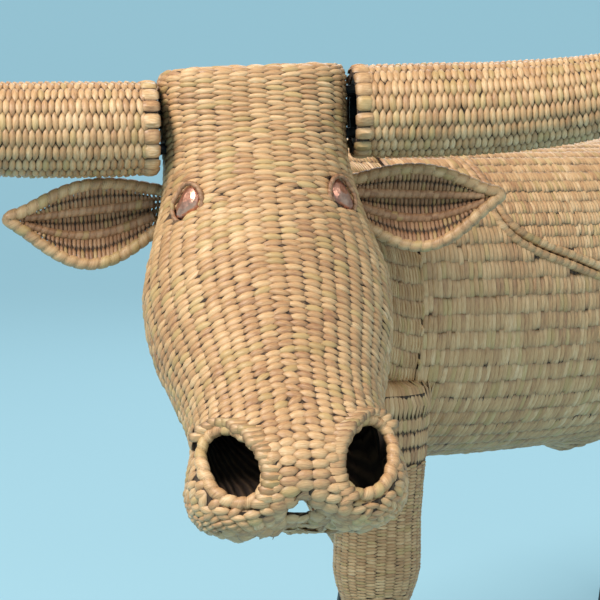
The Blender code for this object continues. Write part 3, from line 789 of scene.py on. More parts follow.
@dataclass
class Weave:
    """A brick pattern of strands: courses a pitch apart, with each strand over one stake."""

    pitch: tuple[float, float]
    spacing: float
    rise: float
    seed: int
    slant: float = 0.0
    run: Run = Run.ROUND
    overlap: float = 1.30
    fullness: float = 1.16
    lift: float = 0.0004
    stagger: float = 0.5
    jitter: float = 0.03
    turning: float = 0.05
    lean: float = 6.0

    def lay(self, surface: Surface, weights: np.ndarray | None = None) -> Laid:
        """Lays the strands on a surface.

        Args:
            surface: The grid to cover.
            weights: How much each column counts when courses are spaced.

        Returns:
            The strands, only where the frame was met.
        """
        rng = np.random.default_rng(self.seed)
        marks, takes = surface.row_marks(self.pitch, weights)
        normals = surface.normals()
        sets = []
        count = 0
        for i, mark in enumerate(marks):
            low = min(int(mark), len(surface.points) - 2)
            f = mark - low
            ring = surface.points[low] * (1 - f) + surface.points[low + 1] * f
            outs = normals[low] * (1 - f) + normals[low + 1] * f
            step = surface.points[low + 1] - surface.points[low]
            local = np.linalg.norm(step, axis=1) * takes[i]
            gone = run_length(np.vstack([ring, ring[:1]]))
            length = gone[-1]
            if count == 0 or abs(length / count - self.spacing) > 0.28 * self.spacing:
                count = max(5, round(length / self.spacing))
            shifts = rng.normal(0, self.jitter, count)
            spots = (np.arange(count) + shifts) / count * length

            def at(
                values: np.ndarray, where: np.ndarray, gone: np.ndarray = gone, length: float = length
            ) -> np.ndarray:
                """Values of the ring's columns at distances round it.

                Args:
                    values: A value for each column.
                    where: Distances round the ring.
                    gone: Distance of each column round the ring.
                    length: Distance once round.

                Returns:
                    The values there.
                """
                closed = np.concatenate([values, values[:1]])
                columns = closed.reshape(len(closed), -1).T
                return np.stack([np.interp(where % length, gone, c) for c in columns], axis=-1)

            span = length / count * self.overlap
            here, out = at(ring, spots), unit(at(outs, spots))
            ahead, behind = at(ring, spots + span / 2), at(ring, spots - span / 2)
            along = unit(ahead - behind)
            sag = ((here - (ahead + behind) / 2) * out).sum(1)
            wide = at(local, spots)[:, 0] * self.fullness
            met = at(surface.met[low].astype(float), spots)[:, 0] > 0.5
            down = unit(at(step, spots))
            shift = (np.arange(count) % 2 - 0.5) * self.stagger * wide / self.fullness
            if self.run is Run.LENGTHWISE:
                along, sag = down, sag * 0
                shift = shift * at(local, spots)[:, 0] / wide
                wide = np.full(count, length / count * self.fullness)
                span = at(local, spots)[:, 0] * self.overlap
            tilt = math.radians(self.slant) + rng.normal(0, self.turning, count)
            across = np.cross(out, along)
            along = along * np.cos(tilt)[:, None] + across * np.sin(tilt)[:, None]
            lean = np.radians(rng.normal(self.lean, 0.6 * abs(self.lean) + 1, count))[:, None]
            out = out * np.cos(lean) + np.cross(along, out) * np.sin(lean)
            rise = self.rise * rng.uniform(0.8, 1.25, count)
            wide = wide * rng.uniform(0.92, 1.10, count)
            sizes = np.stack(
                [np.broadcast_to(span, count) * rng.uniform(0.94, 1.08, count), wide, rise], axis=1
            )
            places = here + out * self.lift + down * shift[:, None]
            sets.append(Laid(places, along, out, sizes, sag).picked(met))
        result = sets[0]
        for more in sets[1:]:
            result = result.joined(more)
        return result


# ------------------------------------------------------------------ finishes


class Shading:
    """A material whose nodes are added one at a time."""

    def __init__(self, name: str) -> None:
        """Starts a material that holds only its surface shader.

        Args:
            name: Its name.
        """
        self.material = bpy.data.materials.new(name)
        self.material.use_nodes = True
        self.tree = self.material.node_tree
        self.shader = self.tree.nodes["Principled BSDF"]

    def node(self, kind: str, inputs: dict | None = None, **settings: object) -> Node:
        """Adds a shader node, with sockets or values by input name or number.

        Args:
            kind: The kind of value or node.
            inputs: Sockets or values by input name or number.
            settings: The node's properties.

        Returns:
            The node.
        """
        made = self.tree.nodes.new("ShaderNode" + kind)
        for key, value in settings.items():
            setattr(made, key, value)
        for key, value in (inputs or {}).items():
            self.put(made.inputs[key], value)
        return made

    def put(self, socket: Socket, value: object) -> None:
        """Links or sets one input.

        Args:
            socket: The input.
            value: A socket or a plain value.
        """
        if isinstance(value, Socket):
            self.tree.links.new(value, socket)
        else:
            socket.default_value = value

    def math(self, operation: str, *values: object) -> Socket:
        """The result of one arithmetic step."""
        return self.node("Math", dict(enumerate(values)), operation=operation).outputs[0]

    def ramp(self, share: object, stops: Sequence[tuple[float, Colour]]) -> Socket:
        """A colour read from stops along a share from 0 to 1.

        Args:
            share: Place along, from 0 to 1.
            stops: Places and colours of the ramp.

        Returns:
            The colour's socket.
        """
        made = self.node("ValToRGB", {0: share})
        elements = made.color_ramp.elements
        while len(elements) < len(stops):
            elements.new(0.5)
        for element, (at, colour) in zip(elements, stops, strict=True):
            element.position = at
            element.color = (*colour, 1.0)
        return made.outputs[0]

    def mix(self, share: object, first: object, second: object, how: str = "MIX") -> Socket:
        """Two colours mixed or multiplied."""
        made = self.node("Mix", {0: share, 6: first, 7: second}, data_type="RGBA", blend_type=how)
        return made.outputs[2]

    def noise(self, vector: object, scale: float, detail: float = 4.0) -> Socket:
        """The strength of a noise."""
        return self.node("TexNoise", {"Vector": vector, "Scale": scale, "Detail": detail}).outputs[0]

    def bump(self, height: object, distance: float, strength: float = 1.0) -> None:
        """Gives the surface fine relief."""
        made = self.node("Bump", {"Height": height, "Distance": distance, "Strength": strength})
        self.put(self.shader.inputs["Normal"], made.outputs[0])


@dataclass(frozen=True)
class StrandFinish:
    """Dry rush strands, each with its own tone and with fibres along it, and with painted shade at their ends
    and edges.
    """

    name: str
    # shadow and end_shade: colour and strength of the painted shade at the strands' ends and edges.
    shadow: Colour = (0.075, 0.036, 0.016)
    brown: Colour = (0.300, 0.140, 0.065)
    tan: Colour = (0.450, 0.245, 0.110)
    straw: Colour = (0.575, 0.345, 0.165)
    pale: Colour = (0.760, 0.545, 0.330)
    green: Colour = (0.420, 0.300, 0.110)
    end_shade: float = 0.75
    roughness: float = 0.46

    def material(self) -> Material:
        """Builds the finish.

        Returns:
            The material.
        """
        look = Shading(self.name)
        tint = look.node("Attribute", attribute_name="tint").outputs["Vector"]
        strand = look.node("Attribute", attribute_name="strand").outputs["Vector"]
        tone = look.node("SeparateXYZ", {0: tint})
        place = look.node("SeparateXYZ", {0: strand})
        fibre_at = look.node(
            "CombineXYZ",
            {
                0: look.math("MULTIPLY", place.outputs[2], 3.0),
                1: look.math("MULTIPLY", place.outputs[1], 11.0),
                2: look.math("MULTIPLY", tone.outputs[2], 60.0),
            },
        )
        fibres = look.noise(fibre_at.outputs[0], 1.0, 5.0)
        object_at = look.node("TexCoord").outputs["Object"]
        weather = look.noise(object_at, 7.0, 3.0)
        share = look.math(
            "ADD", look.math("MULTIPLY", tone.outputs[0], 0.36), look.math("MULTIPLY", fibres, 0.90)
        )
        share = look.math("ADD", share, look.math("MULTIPLY", look.math("SUBTRACT", weather, 0.5), 0.55))
        share = look.math("SUBTRACT", share, 0.15)
        stops = ((0.12, self.brown), (0.36, self.tan), (0.62, self.straw), (0.92, self.pale))
        colour = look.ramp(share, stops)
        greenish = look.math("MULTIPLY", look.math("GREATER_THAN", tone.outputs[1], 0.86), 0.45)
        colour = look.mix(greenish, colour, (*self.green, 1.0))
        end, side = (
            look.math("ABSOLUTE", look.math("SUBTRACT", look.math("MULTIPLY", place.outputs[k], 2.0), 1.0))
            for k in (0, 1)
        )
        # Painted shade: darker towards each strand's ends, where it dives under the next strand, and towards
        # its edges.
        painted_end_shade = look.math(
            "MAXIMUM", look.math("POWER", end, 4.0), look.math("MULTIPLY", look.math("POWER", side, 5.0), 0.8)
        )
        colour = look.mix(look.math("MULTIPLY", painted_end_shade, self.end_shade), colour, (*self.shadow, 1.0))
        look.put(look.shader.inputs["Base Color"], colour)
        look.put(
            look.shader.inputs["Roughness"],
            look.math("ADD", look.math("MULTIPLY", fibres, 0.25), self.roughness - 0.12),
        )
        look.bump(fibres, 0.0006, 0.8)
        return look.material


@dataclass(frozen=True)
class ShellFinish:
    """Painted shade: the inside of the weave, seen between the strands, coloured near black to stand for the
    shade there, with a banded pattern of inner strands.
    """

    name: str
    # dark and light: tones of the painted shade seen between the strands.
    dark: Colour = (0.030, 0.015, 0.008)
    light: Colour = (0.150, 0.082, 0.040)

    def material(self) -> Material:
        """Builds the finish.

        Returns:
            The material.
        """
        look = Shading(self.name)
        at = look.node("TexCoord").outputs["Object"]
        waves = look.node("TexWave", {"Vector": at, "Scale": 40.0, "Distortion": 2.0, "Detail": 2.0})
        waves.bands_direction = "Y"
        share = look.math("MULTIPLY", waves.outputs[1], look.noise(at, 60.0))
        look.put(look.shader.inputs["Base Color"], look.ramp(share, ((0.1, self.dark), (0.8, self.light))))
        look.shader.inputs["Roughness"].default_value = 0.85
        look.bump(waves.outputs[1], 0.002)
        return look.material


@dataclass(frozen=True)
class MetalFinish:
    """Worked metal: blackened iron or copper."""

    name: str
    dark: Colour
    light: Colour
    metallic: float
    roughness: float
    dents: float
    depth: float

    def material(self) -> Material:
        """Builds the finish.

        Returns:
            The material.
        """
        look = Shading(self.name)
        at = look.node("TexCoord").outputs["Object"]
        patches = look.noise(at, self.dents, 5.0)
        look.put(
            look.shader.inputs["Base Color"], look.ramp(patches, ((0.35, self.dark), (0.68, self.light)))
        )
        look.shader.inputs["Metallic"].default_value = self.metallic
        rough = look.math(
            "ADD", look.math("MULTIPLY", look.noise(at, self.dents * 3), 0.3), self.roughness - 0.15
        )
        look.put(look.shader.inputs["Roughness"], rough)
        look.bump(look.noise(at, self.dents * 2, 3.0), self.depth)
        return look.material


class Finishes:
    """All the materials of the bull."""

    def __init__(self) -> None:
        """Builds each finish once."""
        self.strands = StrandFinish("rush_strands").material()
        # Painted shade at the wrapping's strand ends, stronger than on the weave.
        self.wrapping = StrandFinish("rush_wrapping", end_shade=0.9).material()
        self.ear_rim = StrandFinish(
            "rush_ear_rim", brown=(0.26, 0.13, 0.06), tan=(
                0.42, 0.235, 0.11
            ), straw=(0.54, 0.33, 0.16), pale=(0.66, 0.46, 0.26)
        ).material()
        self.ear = StrandFinish(
            "rush_ear", brown=(
                0.17, 0.075, 0.035
            ), tan=(0.30, 0.145, 0.07), straw=(0.40, 0.21, 0.105), pale=(0.52, 0.32, 0.18)
        ).material()
        # Painted shade: this near-black finish goes on every frame shell, standing for the shade between the
        # strands.
        self.shell = ShellFinish("inner_weave").material()
        self.iron = MetalFinish(
            "black_iron", (0.010, 0.010, 0.011), (0.035, 0.032, 0.030), 0.55, 0.52, 60.0, 0.0006
        ).material()
        self.copper = MetalFinish(
            "copper_sheet", (0.42, 0.17, 0.12), (0.78, 0.40, 0.28), 0.9, 0.33, 90.0, 0.0005
        ).material()

    def dress(self, node: str, material: Material) -> None:
        """Gives a frame node its material in every slot.

        Args:
            node: The frame node.
            material: The finish.
        """
        data = NODES[node].data
        if not data.materials:
            data.materials.append(material)
        for i in range(len(data.materials)):
            data.materials[i] = material


# ------------------------------------------------------------------ forms


class Barrel:
    """The woven tub and its back lid, with rolled edges along the seam."""

    middle_heights = ((0.0, 0.567), (0.55, 0.560), (0.78, 0.580), (0.92, 0.615), (1.0, 0.635))
    rows = 420

    def __init__(self) -> None:
        """Measures the barrel."""
        low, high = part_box("body_tub")
        self.middle = (low.x + high.x) / 2
        self.front, self.rear = low.y, high.y
        lid_low, lid_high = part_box("back_lid")
        self.lid_low, self.lid_high = lid_low, lid_high
        ys = np.linspace(self.front + 0.001, self.rear - 0.0008, self.rows)
        shares = (ys - self.front) / (self.rear - self.front)
        zs = np.interp(shares, *np.array(self.middle_heights).T)
        centres = np.stack([np.full(self.rows, self.middle), ys, zs], axis=1)
        ups = level_rows((0.0, 0.0, 1.0), self.rows)
        axes = level_rows((0.0, 1.0, 0.0), self.rows)
        self.ys = ys
        self.surface = Surface.around(("body_tub", "back_lid"), centres, ups, axes, 0.30, smooth=(5.0, 2.0))

    def build(self, loom: Loom, looks: Finishes) -> None:
        """Weaves the tub and the lid, and rolls their edges.

        Args:
            loom: The loom that makes the pieces.
            looks: The finishes.
        """
        surface = self.surface.capped(False, True)
        tub, lid = tree_of("body_tub"), tree_of("back_lid")
        coarse = Weave(
            (0.0073, 0.0062), 0.0215, 0.0021, 11, stagger=0.0, overlap=1.20, fullness=1.28, jitter=0.06
        )
        laid = coarse.lay(surface)
        laid = laid.picked(self.owned(laid, tub, lid)).settled(tub, 0.003)
        loom.lay("tub_weave", "bull", laid, looks.strands, Cut.BLUNT)
        fine = Weave(
            (0.0060, 0.0056),
            0.0150,
            0.0018,
            12,
            slant=-7.0,
            stagger=0.0,
            overlap=1.24,
            fullness=1.28,
            jitter=0.07,
        )
        laid = fine.lay(surface)
        laid = laid.picked(self.owned(laid, lid, tub)).settled(lid, 0.003)
        loom.lay("lid_weave", "lid", laid, looks.strands, Cut.BLUNT)
        for name in ("body_tub", "back_lid"):
            looks.dress(name, looks.shell)
        self.roll_edges(loom, looks)

    def owned(self, laid: Laid, own: BVHTree, other: BVHTree) -> np.ndarray:
        """Which strands lie on one of the two shells, and not over the seam.

        Args:
            laid: All strands.
            own: The shell asked about.
            other: The shell on the seam's far side.

        Returns:
            A mask.
        """
        mask = np.zeros(len(laid.places), bool)
        half = laid.alongs * laid.sizes[:, :1] * 0.32
        for i, place in enumerate(laid.places):
            way = -Vector(laid.outwards[i])
            good = True
            for spot in (place, place + half[i], place - half[i]):
                start = Vector(spot) - way * 0.02
                mine = own.ray_cast(start, way, 0.04)[3]
                theirs = other.ray_cast(start, way, 0.04)[3]
                if mine is None or (theirs is not None and theirs < mine):
                    good = False
                    break
            mask[i] = good
        return mask

    def at(self, y: float, turn: float) -> Vector:
        """The surface at a place along the barrel and an angle from its top, towards its left.

        Args:
            y: Place along the barrel.
            turn: Angle from the top, towards the left.

        Returns:
            The point.
        """
        row = float(np.clip((y - self.ys[0]) / (self.ys[1] - self.ys[0]), 0, len(self.ys) - 1.001))
        column = (turn / math.tau * self.surface.points.shape[1]) % self.surface.points.shape[1]
        i, k = int(row), int(column)
        f, g = row - i, column - k
        after = (k + 1) % self.surface.points.shape[1]
        near = self.surface.points[i, k] * (1 - g) + self.surface.points[i, after] * g
        far = self.surface.points[i + 1, k] * (1 - g) + self.surface.points[i + 1, after] * g
        return Vector(near * (1 - f) + far * f)

    def seam(self, away: float) -> np.ndarray:
        """A closed line on the surface along the lid's seam, moved out of the lid by away.

        Args:
            away: How far the line is moved out of the lid.

        Returns:
            Points of the line.
        """
        low, high = self.lid_low, self.lid_high
        profile = np.array(
            (
                (low.y, high.z + 0.12),
                (low.y - 0.002, high.z),
                (low.y, high.z - 0.068),
                (low.y + 0.007, high.z - 0.105),
                (low.y + 0.034, high.z - 0.130),
                (low.y + 0.076, high.z - 0.148),
                (low.y + 0.126, high.z - 0.164),
                (low.y + 0.176, high.z - 0.181),
                (low.y + 0.226, high.z - 0.197),
                (low.y + 0.286, low.z - 0.001),
                (low.y + 0.341, low.z - 0.002),
                (low.y + 0.426, low.z - 0.002),
                (low.y + 0.551, low.z - 0.002),
                (low.y + 0.616, low.z + 0.007),
                (high.y - 0.024, low.z + 0.041),
                (high.y - 0.004, low.z + 0.103),
                (high.y + 0.001, high.z - 0.004),
                (high.y + 0.004, high.z + 0.12),
            )
        )
        line = smooth_rows(profile, 400)
        slope = unit(np.gradient(line, axis=0))
        line = line + np.stack([slope[:, 1], -slope[:, 0]], axis=1) * away
        lowest = int(np.argmin(line[:, 1]))
        half: list[Vector] = []
        for branch, order in ((line[: lowest + 1], 1), (line[lowest:][::-1], -1)):
            ys, zs = branch[::-1, 0], branch[::-1, 1]
            arc = []
            for turn in np.linspace(0.0, math.pi / 2 * 1.02, 90):
                y = float(ys[-1])
                for _ in range(4):
                    z = max(self.at(y, -turn).z, float(zs[0]))
                    y = float(np.interp(z, zs, ys))
                spot = self.at(y, -turn)
                if spot.z >= zs[0] - 0.0015:
                    arc.append(spot)
            half += arc if order == 1 else arc[::-1]
        mirrored = [Vector((2 * self.middle - p.x, p.y, p.z)) for p in half[::-1]]
        loop = rows_of(half + mirrored)
        steps = np.linalg.norm(np.diff(loop, axis=0), axis=1)
        return loop[np.concatenate([[True], steps > 0.0004])]

    def roll_edges(self, loom: Loom, looks: Finishes) -> None:
        """Rolls and wraps the two edges of the seam.

        Args:
            loom: The loom that makes the pieces.
            looks: The finishes.
        """
        hinges = [sum(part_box(f"hinge_{place}_pin"), Vector()) / 2 for place in ("front", "rear")]
        for name, body, away in (("tub_edge_roll", "bull", 0.0068), ("lid_edge_roll", "lid", -0.0068)):
            path = self.seam(away)
            thick = np.ones(len(path))
            for hinge in hinges:
                near = np.linalg.norm(path - np.array(hinge), axis=1)
                thick = np.minimum(thick, np.clip((near - 0.028) / 0.02, 0.45, 1.0))
            loom.wind(name, body, path, 0.0062, 0.0130, looks.wrapping, thick=thick, groove=0.0014)


class Neck:
    """The woven neck, which bends from the barrel to the turned head."""

    line = (
        (0.000, 0.0000, 0.0, 0.5725),
        (0.006, -0.0665, 10.0, 0.5795),
        (0.032, -0.1315, 27.0, 0.6010),
        (0.075, -0.1865, 43.0, 0.6290),
        (0.124, -0.2325, 54.0, 0.6595),
        (0.168, -0.2645, 56.0, 0.6790),
    )
    rows = 200

    def build(self, loom: Loom, looks: Finishes, barrel: Barrel) -> None:
        """Weaves the neck.

        Args:
            loom: The loom that makes the pieces.
            looks: The finishes.
            barrel: The barrel that the neck leaves.
        """
        table = smooth_rows(self.line, self.rows)[2:-2]
        centres = table[:, (0, 1, 3)] + np.array((barrel.middle, barrel.front - 0.0015, 0.0))
        heading = np.radians(table[:, 2])
        axes = np.stack([np.sin(heading), -np.cos(heading), np.zeros(len(table))], axis=1)
        ups = level_rows((0.0, 0.0, 1.0), len(table))
        surface = Surface.around(("neck_sleeve",), centres, ups, axes, 0.26).longer(6)
        weave = Weave(
            (0.0070, 0.0066), 0.0215, 0.0022, 21, slant=4.0, stagger=0.15, overlap=1.16, fullness=1.25
        )
        laid = weave.lay(surface).settled(tree_of("neck_sleeve", "body_tub"), 0.003)
        loom.lay("neck_weave", "bull", laid, looks.strands, Cut.BLUNT)
        looks.dress("neck_sleeve", looks.shell)


class HeadFrame:
    """Directions of the turned head, and its middle at the poll."""

    ring_ahead = 0.030
    ring_up = 0.004

    def __init__(self) -> None:
        """Reads the head's cross axis from the horns' joint, and its place from the horn rings."""
        joint = next(j for j in frame["joints"] if j["name"] == "horn_left_pull")
        self.left = Vector(joint["axis"]).normalized()
        self.ahead = self.left.cross(UP).normalized()
        self.up = self.ahead.cross(self.left)
        rings = [sum(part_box(f"horn_ring_{side.label}"), Vector()) / 2 for side in Side]
        middle = (rings[0] + rings[1]) / 2
        self.poll = middle - self.ahead * self.ring_ahead - self.up * self.ring_up

    def at(self, out: float, ahead: float, up: float) -> Vector:
        """A point from its place beside, ahead of and above the poll."""
        return self.poll + self.left * out + self.ahead * ahead + self.up * up


class Head:
    """The woven head, with its nostril rims and eye rims."""

    line = (
        (0.000, 0.057, 4.0),
        (0.002, 0.048, 6.0),
        (0.008, 0.005, 16.0),
        (0.026, -0.050, 28.0),
        (0.054, -0.105, 36.0),
        (0.090, -0.165, 38.0),
        (0.136, -0.225, 39.0),
        (0.184, -0.278, 39.0),
        (0.222, -0.315, 37.0),
        (0.250, -0.343, 31.0),
        (0.262, -0.364, 22.0),
        (0.270, -0.385, 12.0),
        (0.272, -0.398, 8.0),
    )
    rows = 360
    cheek_slant = 38.0
    muzzle_below = 0.35

    def __init__(self, head: HeadFrame) -> None:
        """Measures the head.

        Args:
            head: Directions and place of the turned head.
        """
        table = smooth_rows(self.line, self.rows)[2:-2]
        self.head = head
        tilt = np.radians(table[:, 2])
        centres = rows_of([head.at(0.0, a, u) for a, u, _ in table])
        ahead, up = np.array(head.ahead), np.array(head.up)
        ups = ahead[None] * np.cos(tilt)[:, None] + up[None] * np.sin(tilt)[:, None]
        axes = ahead[None] * np.sin(tilt)[:, None] - up[None] * np.cos(tilt)[:, None]
        self.surface = Surface.around(("head_shell",), centres, ups, axes, 0.20, smooth=(5.0, 1.6))

    def build(self, loom: Loom, looks: Finishes) -> None:
        """Weaves the head and winds the rims.

        Args:
            loom: The loom that makes the pieces.
            looks: The finishes.
        """
        turns = self.surface.points.shape[1]
        angle = np.arange(turns) * math.tau / turns
        face = 0.25 + np.clip(np.cos(angle), 0, 1)
        surface = Surface(self.surface.points, np.ones(self.surface.met.shape, bool)).capped(True, True)
        laid = Weave(
            (0.0064, 0.0086), 0.0168, 0.0023, 31, overlap=1.48, fullness=1.26, turning=0.08
        ).lay(surface, face)
        self.sweep_back(laid)
        heights = np.array([Vector(p).dot(self.head.up) for p in laid.places])
        low = heights < self.head.poll.dot(self.head.up) - self.muzzle_below
        rng = np.random.default_rng(32)
        twist = np.where(low, rng.normal(0, 0.45, len(low)), 0.0)[:, None]
        across = np.cross(laid.outwards, laid.alongs)
        laid.alongs = laid.alongs * np.cos(twist) + across * np.sin(twist)
        laid.sizes[low] *= (1.05, 1.12, 1.25)
        laid = laid.settled(tree_of("head_shell"), most=0.045)
        loom.lay("head_weave", "bull", laid, looks.strands)
        looks.dress("head_shell", looks.shell)
        for side in Side:
            self.nostril(loom, looks, side)
            self.eye(loom, looks, side)

    def sweep_back(self, laid: Laid) -> None:
        """Turns the strands of the cheeks so that they run backwards and down.

        Args:
            laid: The strands, which are changed in place.
        """
        ahead, up = np.array(self.head.ahead), np.array(self.head.up)
        heights = laid.places @ up - np.array(self.head.poll) @ up
        cheek = np.clip((0.86 - laid.outwards @ ahead) / 0.5, 0, 1) * np.clip((-0.09 - heights) / 0.06, 0, 1)
        cheek *= np.clip((heights + 0.36) / 0.05, 0, 1)
        back = laid.alongs * np.where(laid.alongs @ ahead > 0, -1.0, 1.0)[:, None]
        down = unit(-up - laid.outwards * (laid.outwards @ -up)[:, None])
        tilt = math.radians(self.cheek_slant) * cheek
        laid.alongs = unit(back * np.cos(tilt)[:, None] + down * np.sin(tilt)[:, None])
        laid.sizes[:, 1] *= np.cos(tilt * 0.9)

    def nostril(self, loom: Loom, looks: Finishes, side: Side) -> None:
        """Winds the rim of one nostril.

        Args:
            loom: The loom that makes the pieces.
            looks: The finishes.
            side: Which side it is on.
        """
        name = f"nostril_rim_{side.label}"
        path = ring_line(corners_of(name), np.array(self.head.ahead), 40)
        centre = path.mean(0)
        inner = -np.array(self.head.left) * side.value
        ways = unit(path - centre)
        towards = ways @ inner
        low = ways @ np.array(self.head.up) < 0.2
        thick = np.where(low, 1.0, 0.86) - 0.22 * np.clip(towards, 0, 1)
        path = path - np.array(self.head.ahead) * 0.0030
        piece = loom.wind(
            f"nostril_roll_{side.label}", "bull", path, 0.0068, 0.0120, looks.wrapping,
            groove=0.0018, thick=thick,
        )
        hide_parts(name)
        rng = np.random.default_rng(35 + side.value)
        ahead, up = np.array(self.head.ahead), np.array(self.head.up)
        rows = []
        gone = 1.0
        for near, way, share in zip(path, ways, towards, strict=True):
            gone += np.linalg.norm(near - rows[-1][0]) if rows else 0.0
            if share < -0.55 or (way @ up < -0.55 and share < 0.5) or gone < 0.006:
                continue
            middle = near + way * (0.0075 + rng.uniform(-0.001, 0.001)) + ahead * 0.0038
            tilt = rng.normal(0, 0.10)
            rows.append(
                (middle, inner * math.cos(tilt) + up * math.sin(tilt), ahead * 0.93 - inner * 0.25 * share)
            )
            gone = 0.0
        count = len(rows)
        sizes = np.tile((0.0235, 0.0100, 0.0030), (count, 1))
        flaps = Laid(*(np.array([r[k] for r in rows]) for k in range(3)), sizes, np.full(count, 0.0035))
        flaps.outwards = unit(
            flaps.outwards - flaps.alongs * (flaps.outwards * flaps.alongs).sum(1, keepdims=True)
        )
        loom.lay(f"nostril_flaps_{side.label}", "bull", flaps, looks.strands, Cut.BLUNT)

    def eye(self, loom: Loom, looks: Finishes, side: Side) -> None:
        """Winds a thin rim round one copper eye.

        Args:
            loom: The loom that makes the pieces.
            looks: The finishes.
            side: Which side it is on.
        """
        name = f"eye_{side.label}"
        looks.dress(name, looks.copper)
        points = corners_of(name)
        centre = points.mean(0)
        outward = centre - np.array(self.head.at(0.0, 0.0, -0.09))
        outline = rim_line(points, unit(outward), 32, 0.0016)
        loom.wind(
            f"eye_roll_{side.label}", "bull", outline, 0.0027, 0.0075, looks.ear, groove=0.0009, sides=10
        )


def ring_line(points: np.ndarray, facing: np.ndarray, count: int) -> np.ndarray:
    """The middle line of a closed roll.

    Args:
        points: The roll's vertices.
        facing: A direction roughly square to the ring.
        count: Points to return.

    Returns:
        A smooth closed line.
    """
    centre = points.mean(0)
    _, _, axes = np.linalg.svd(points - centre)
    first, second = axes[0], axes[1]
    if np.dot(np.cross(first, second), facing) < 0:
        second = -second
    flat = np.stack([(points - centre) @ first, (points - centre) @ second], axis=1)
    angle = np.arctan2(flat[:, 1], flat[:, 0])
    spots = np.arange(count) * math.tau / count
    spread = 0.16
    line = []
    for spot in spots:
        off = np.angle(np.exp(1j * (angle - spot)))
        weight = np.exp(-0.5 * (off / spread) ** 2)
        radius = (np.linalg.norm(flat, axis=1) * weight).sum() / weight.sum()
        depth = (((points - centre) @ axes[2]) * weight).sum() / weight.sum()
        line.append(centre + (first * math.cos(spot) + second * math.sin(spot)) * radius + axes[2] * depth)
    return np.array(line)


def rim_line(points: np.ndarray, facing: np.ndarray, count: int, grow: float) -> np.ndarray:
    """A closed line just outside the outline of a flat piece, as seen along a direction.

    Args:
        points: Points of the form.
        facing: The direction from which it is seen.
        count: Points to return.
        grow: How far outside the outline the line runs.

    Returns:
        A smooth closed line.
    """
    centre = points.mean(0)
    first = unit(np.cross(facing, (0.0, 0.0, 1.0)))
    second = np.cross(facing, first)
    flat = np.stack([(points - centre) @ first, (points - centre) @ second], axis=1)
    front = ((points - centre) @ facing).max() - 0.0055
    line = []
    for spot in np.arange(count) * math.tau / count:
        way = np.array((math.cos(spot), math.sin(spot)))
        radius = (flat @ way).max() + grow
        line.append(centre + first * way[0] * radius + second * way[1] * radius + facing * front)
    line = np.array(line)
    return line * 0.5 + (np.roll(line, 1, 0) + np.roll(line, -1, 0)) * 0.25


class Ear:
    """One ear: a cupped leaf of bundles bound by cross strips, in a wound rim."""

    root = (0.1135, 0.004, -0.090)
    tip = (0.274, 0.030, -0.090)
    half_height = 0.044
    cup = 0.026
    rim = 0.0068

    def __init__(self, head: HeadFrame, side: Side) -> None:
        """Places the ear beside the head.

        Args:
            head: Directions and place of the turned head.
            side: Which side it is on.
        """
        self.side = side
        sign = side.value
        self.start = head.at(sign * self.root[0], *self.root[1:])
        self.along = head.at(sign * self.tip[0], *self.tip[1:]) - self.start
        self.ahead = head.ahead
        up = self.ahead.cross(self.along).normalized()
        self.up = up if up.z > 0 else -up

    def at(self, share: float, across: float, lift: float = 0.0) -> Vector:
        """A point of the cupped leaf, with share from root to tip and across from -1 to 1.

        Args:
            share: Place along, from 0 to 1.
            across: Place across the leaf, from -1 to 1.
            lift: Distance in front of the leaf.

        Returns:
            The point.
        """
        swell = 0.5 + 0.5 * math.sin(math.pi * min(1.0, share * 1.10 + 0.02))
        half = self.half_height * swell * (1 - share**5)
        depth = self.cup * (1 - across**2) ** 2 * half / self.half_height
        sag = 0.012 * math.sin(math.pi * share)
        return self.start + self.along * share + self.up * (half * across - sag) - self.ahead * (depth - lift)

    def build(self, loom: Loom, looks: Finishes) -> None:
        """Builds the rim, the two bundles and the cross strips.

        Args:
            loom: The loom that makes the pieces.
            looks: The finishes.
        """
        label = self.side.label
        shares = np.linspace(-0.07, 0.985, 40)
        rim = [self.at(s, 1.0) for s in shares] + [self.at(s, -1.0) for s in shares[::-1]]
        path = rows_of(rim)
        piece = loom.wind(
            f"ear_roll_{label}", "bull", path, self.rim, 0.0125, looks.ear_rim, closed=False, groove=0.0017
        )
        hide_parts(f"ear_rim_{label}")
        for name, across in (("upper", 0.34), ("lower", -0.30)):
            line = rows_of([self.at(s, across, 0.0045) for s in np.linspace(0.0, 0.88, 24)])
            taper = 1 - 0.35 * np.linspace(0, 1, 24) ** 2
            loom.wind(
                f"ear_bundle_{name}_{label}",
                "bull",
                line,
                0.0062,
                0.0080,
                looks.ear,
                closed=False,
                thick=taper,
            )
        loom.lay(f"ear_strips_{label}", "bull", self.strips(), looks.ear, cut=Cut.FINE)
        looks.dress(f"ear_leaf_{label}", looks.shell)

    def strips(self) -> Laid:
        """Fine strips across the leaf, front and back, between the rim and the bundles.

        Returns:
            The strips.
        """
        rng = np.random.default_rng(41 + self.side.value)
        spans = ((-1.0, -0.62), (-0.62, -0.30), (-0.30, 0.02), (0.02, 0.34), (0.34, 0.66), (0.66, 1.0))
        rows = []
        for lift, facing in ((0.0036, 1.0), (-0.0036, -1.0)):
            for share in np.arange(-0.06, 0.95, 0.028):
                for low, high in spans:
                    ends = [self.at(share, a, lift) for a in (low, high)]
                    middle = self.at(share + rng.uniform(-0.002, 0.002), (low + high) / 2, lift)
                    after = self.at(share + 0.01, (low + high) / 2, lift)
                    along = (ends[1] - ends[0]).normalized()
                    outward = along.cross(after - middle).normalized()
                    outward = outward if outward.dot(self.ahead) * facing > 0 else -outward
                    sag = (middle - (ends[0] + ends[1]) / 2).dot(outward)
                    size = ((ends[1] - ends[0]).length * 1.12, 0.0046, 0.0013)
                    rows.append((middle, along, outward, size, sag))
        columns = [np.array([tuple(r[k]) for r in rows]) for k in range(4)]
        return Laid(*columns, np.array([r[4] for r in rows]))


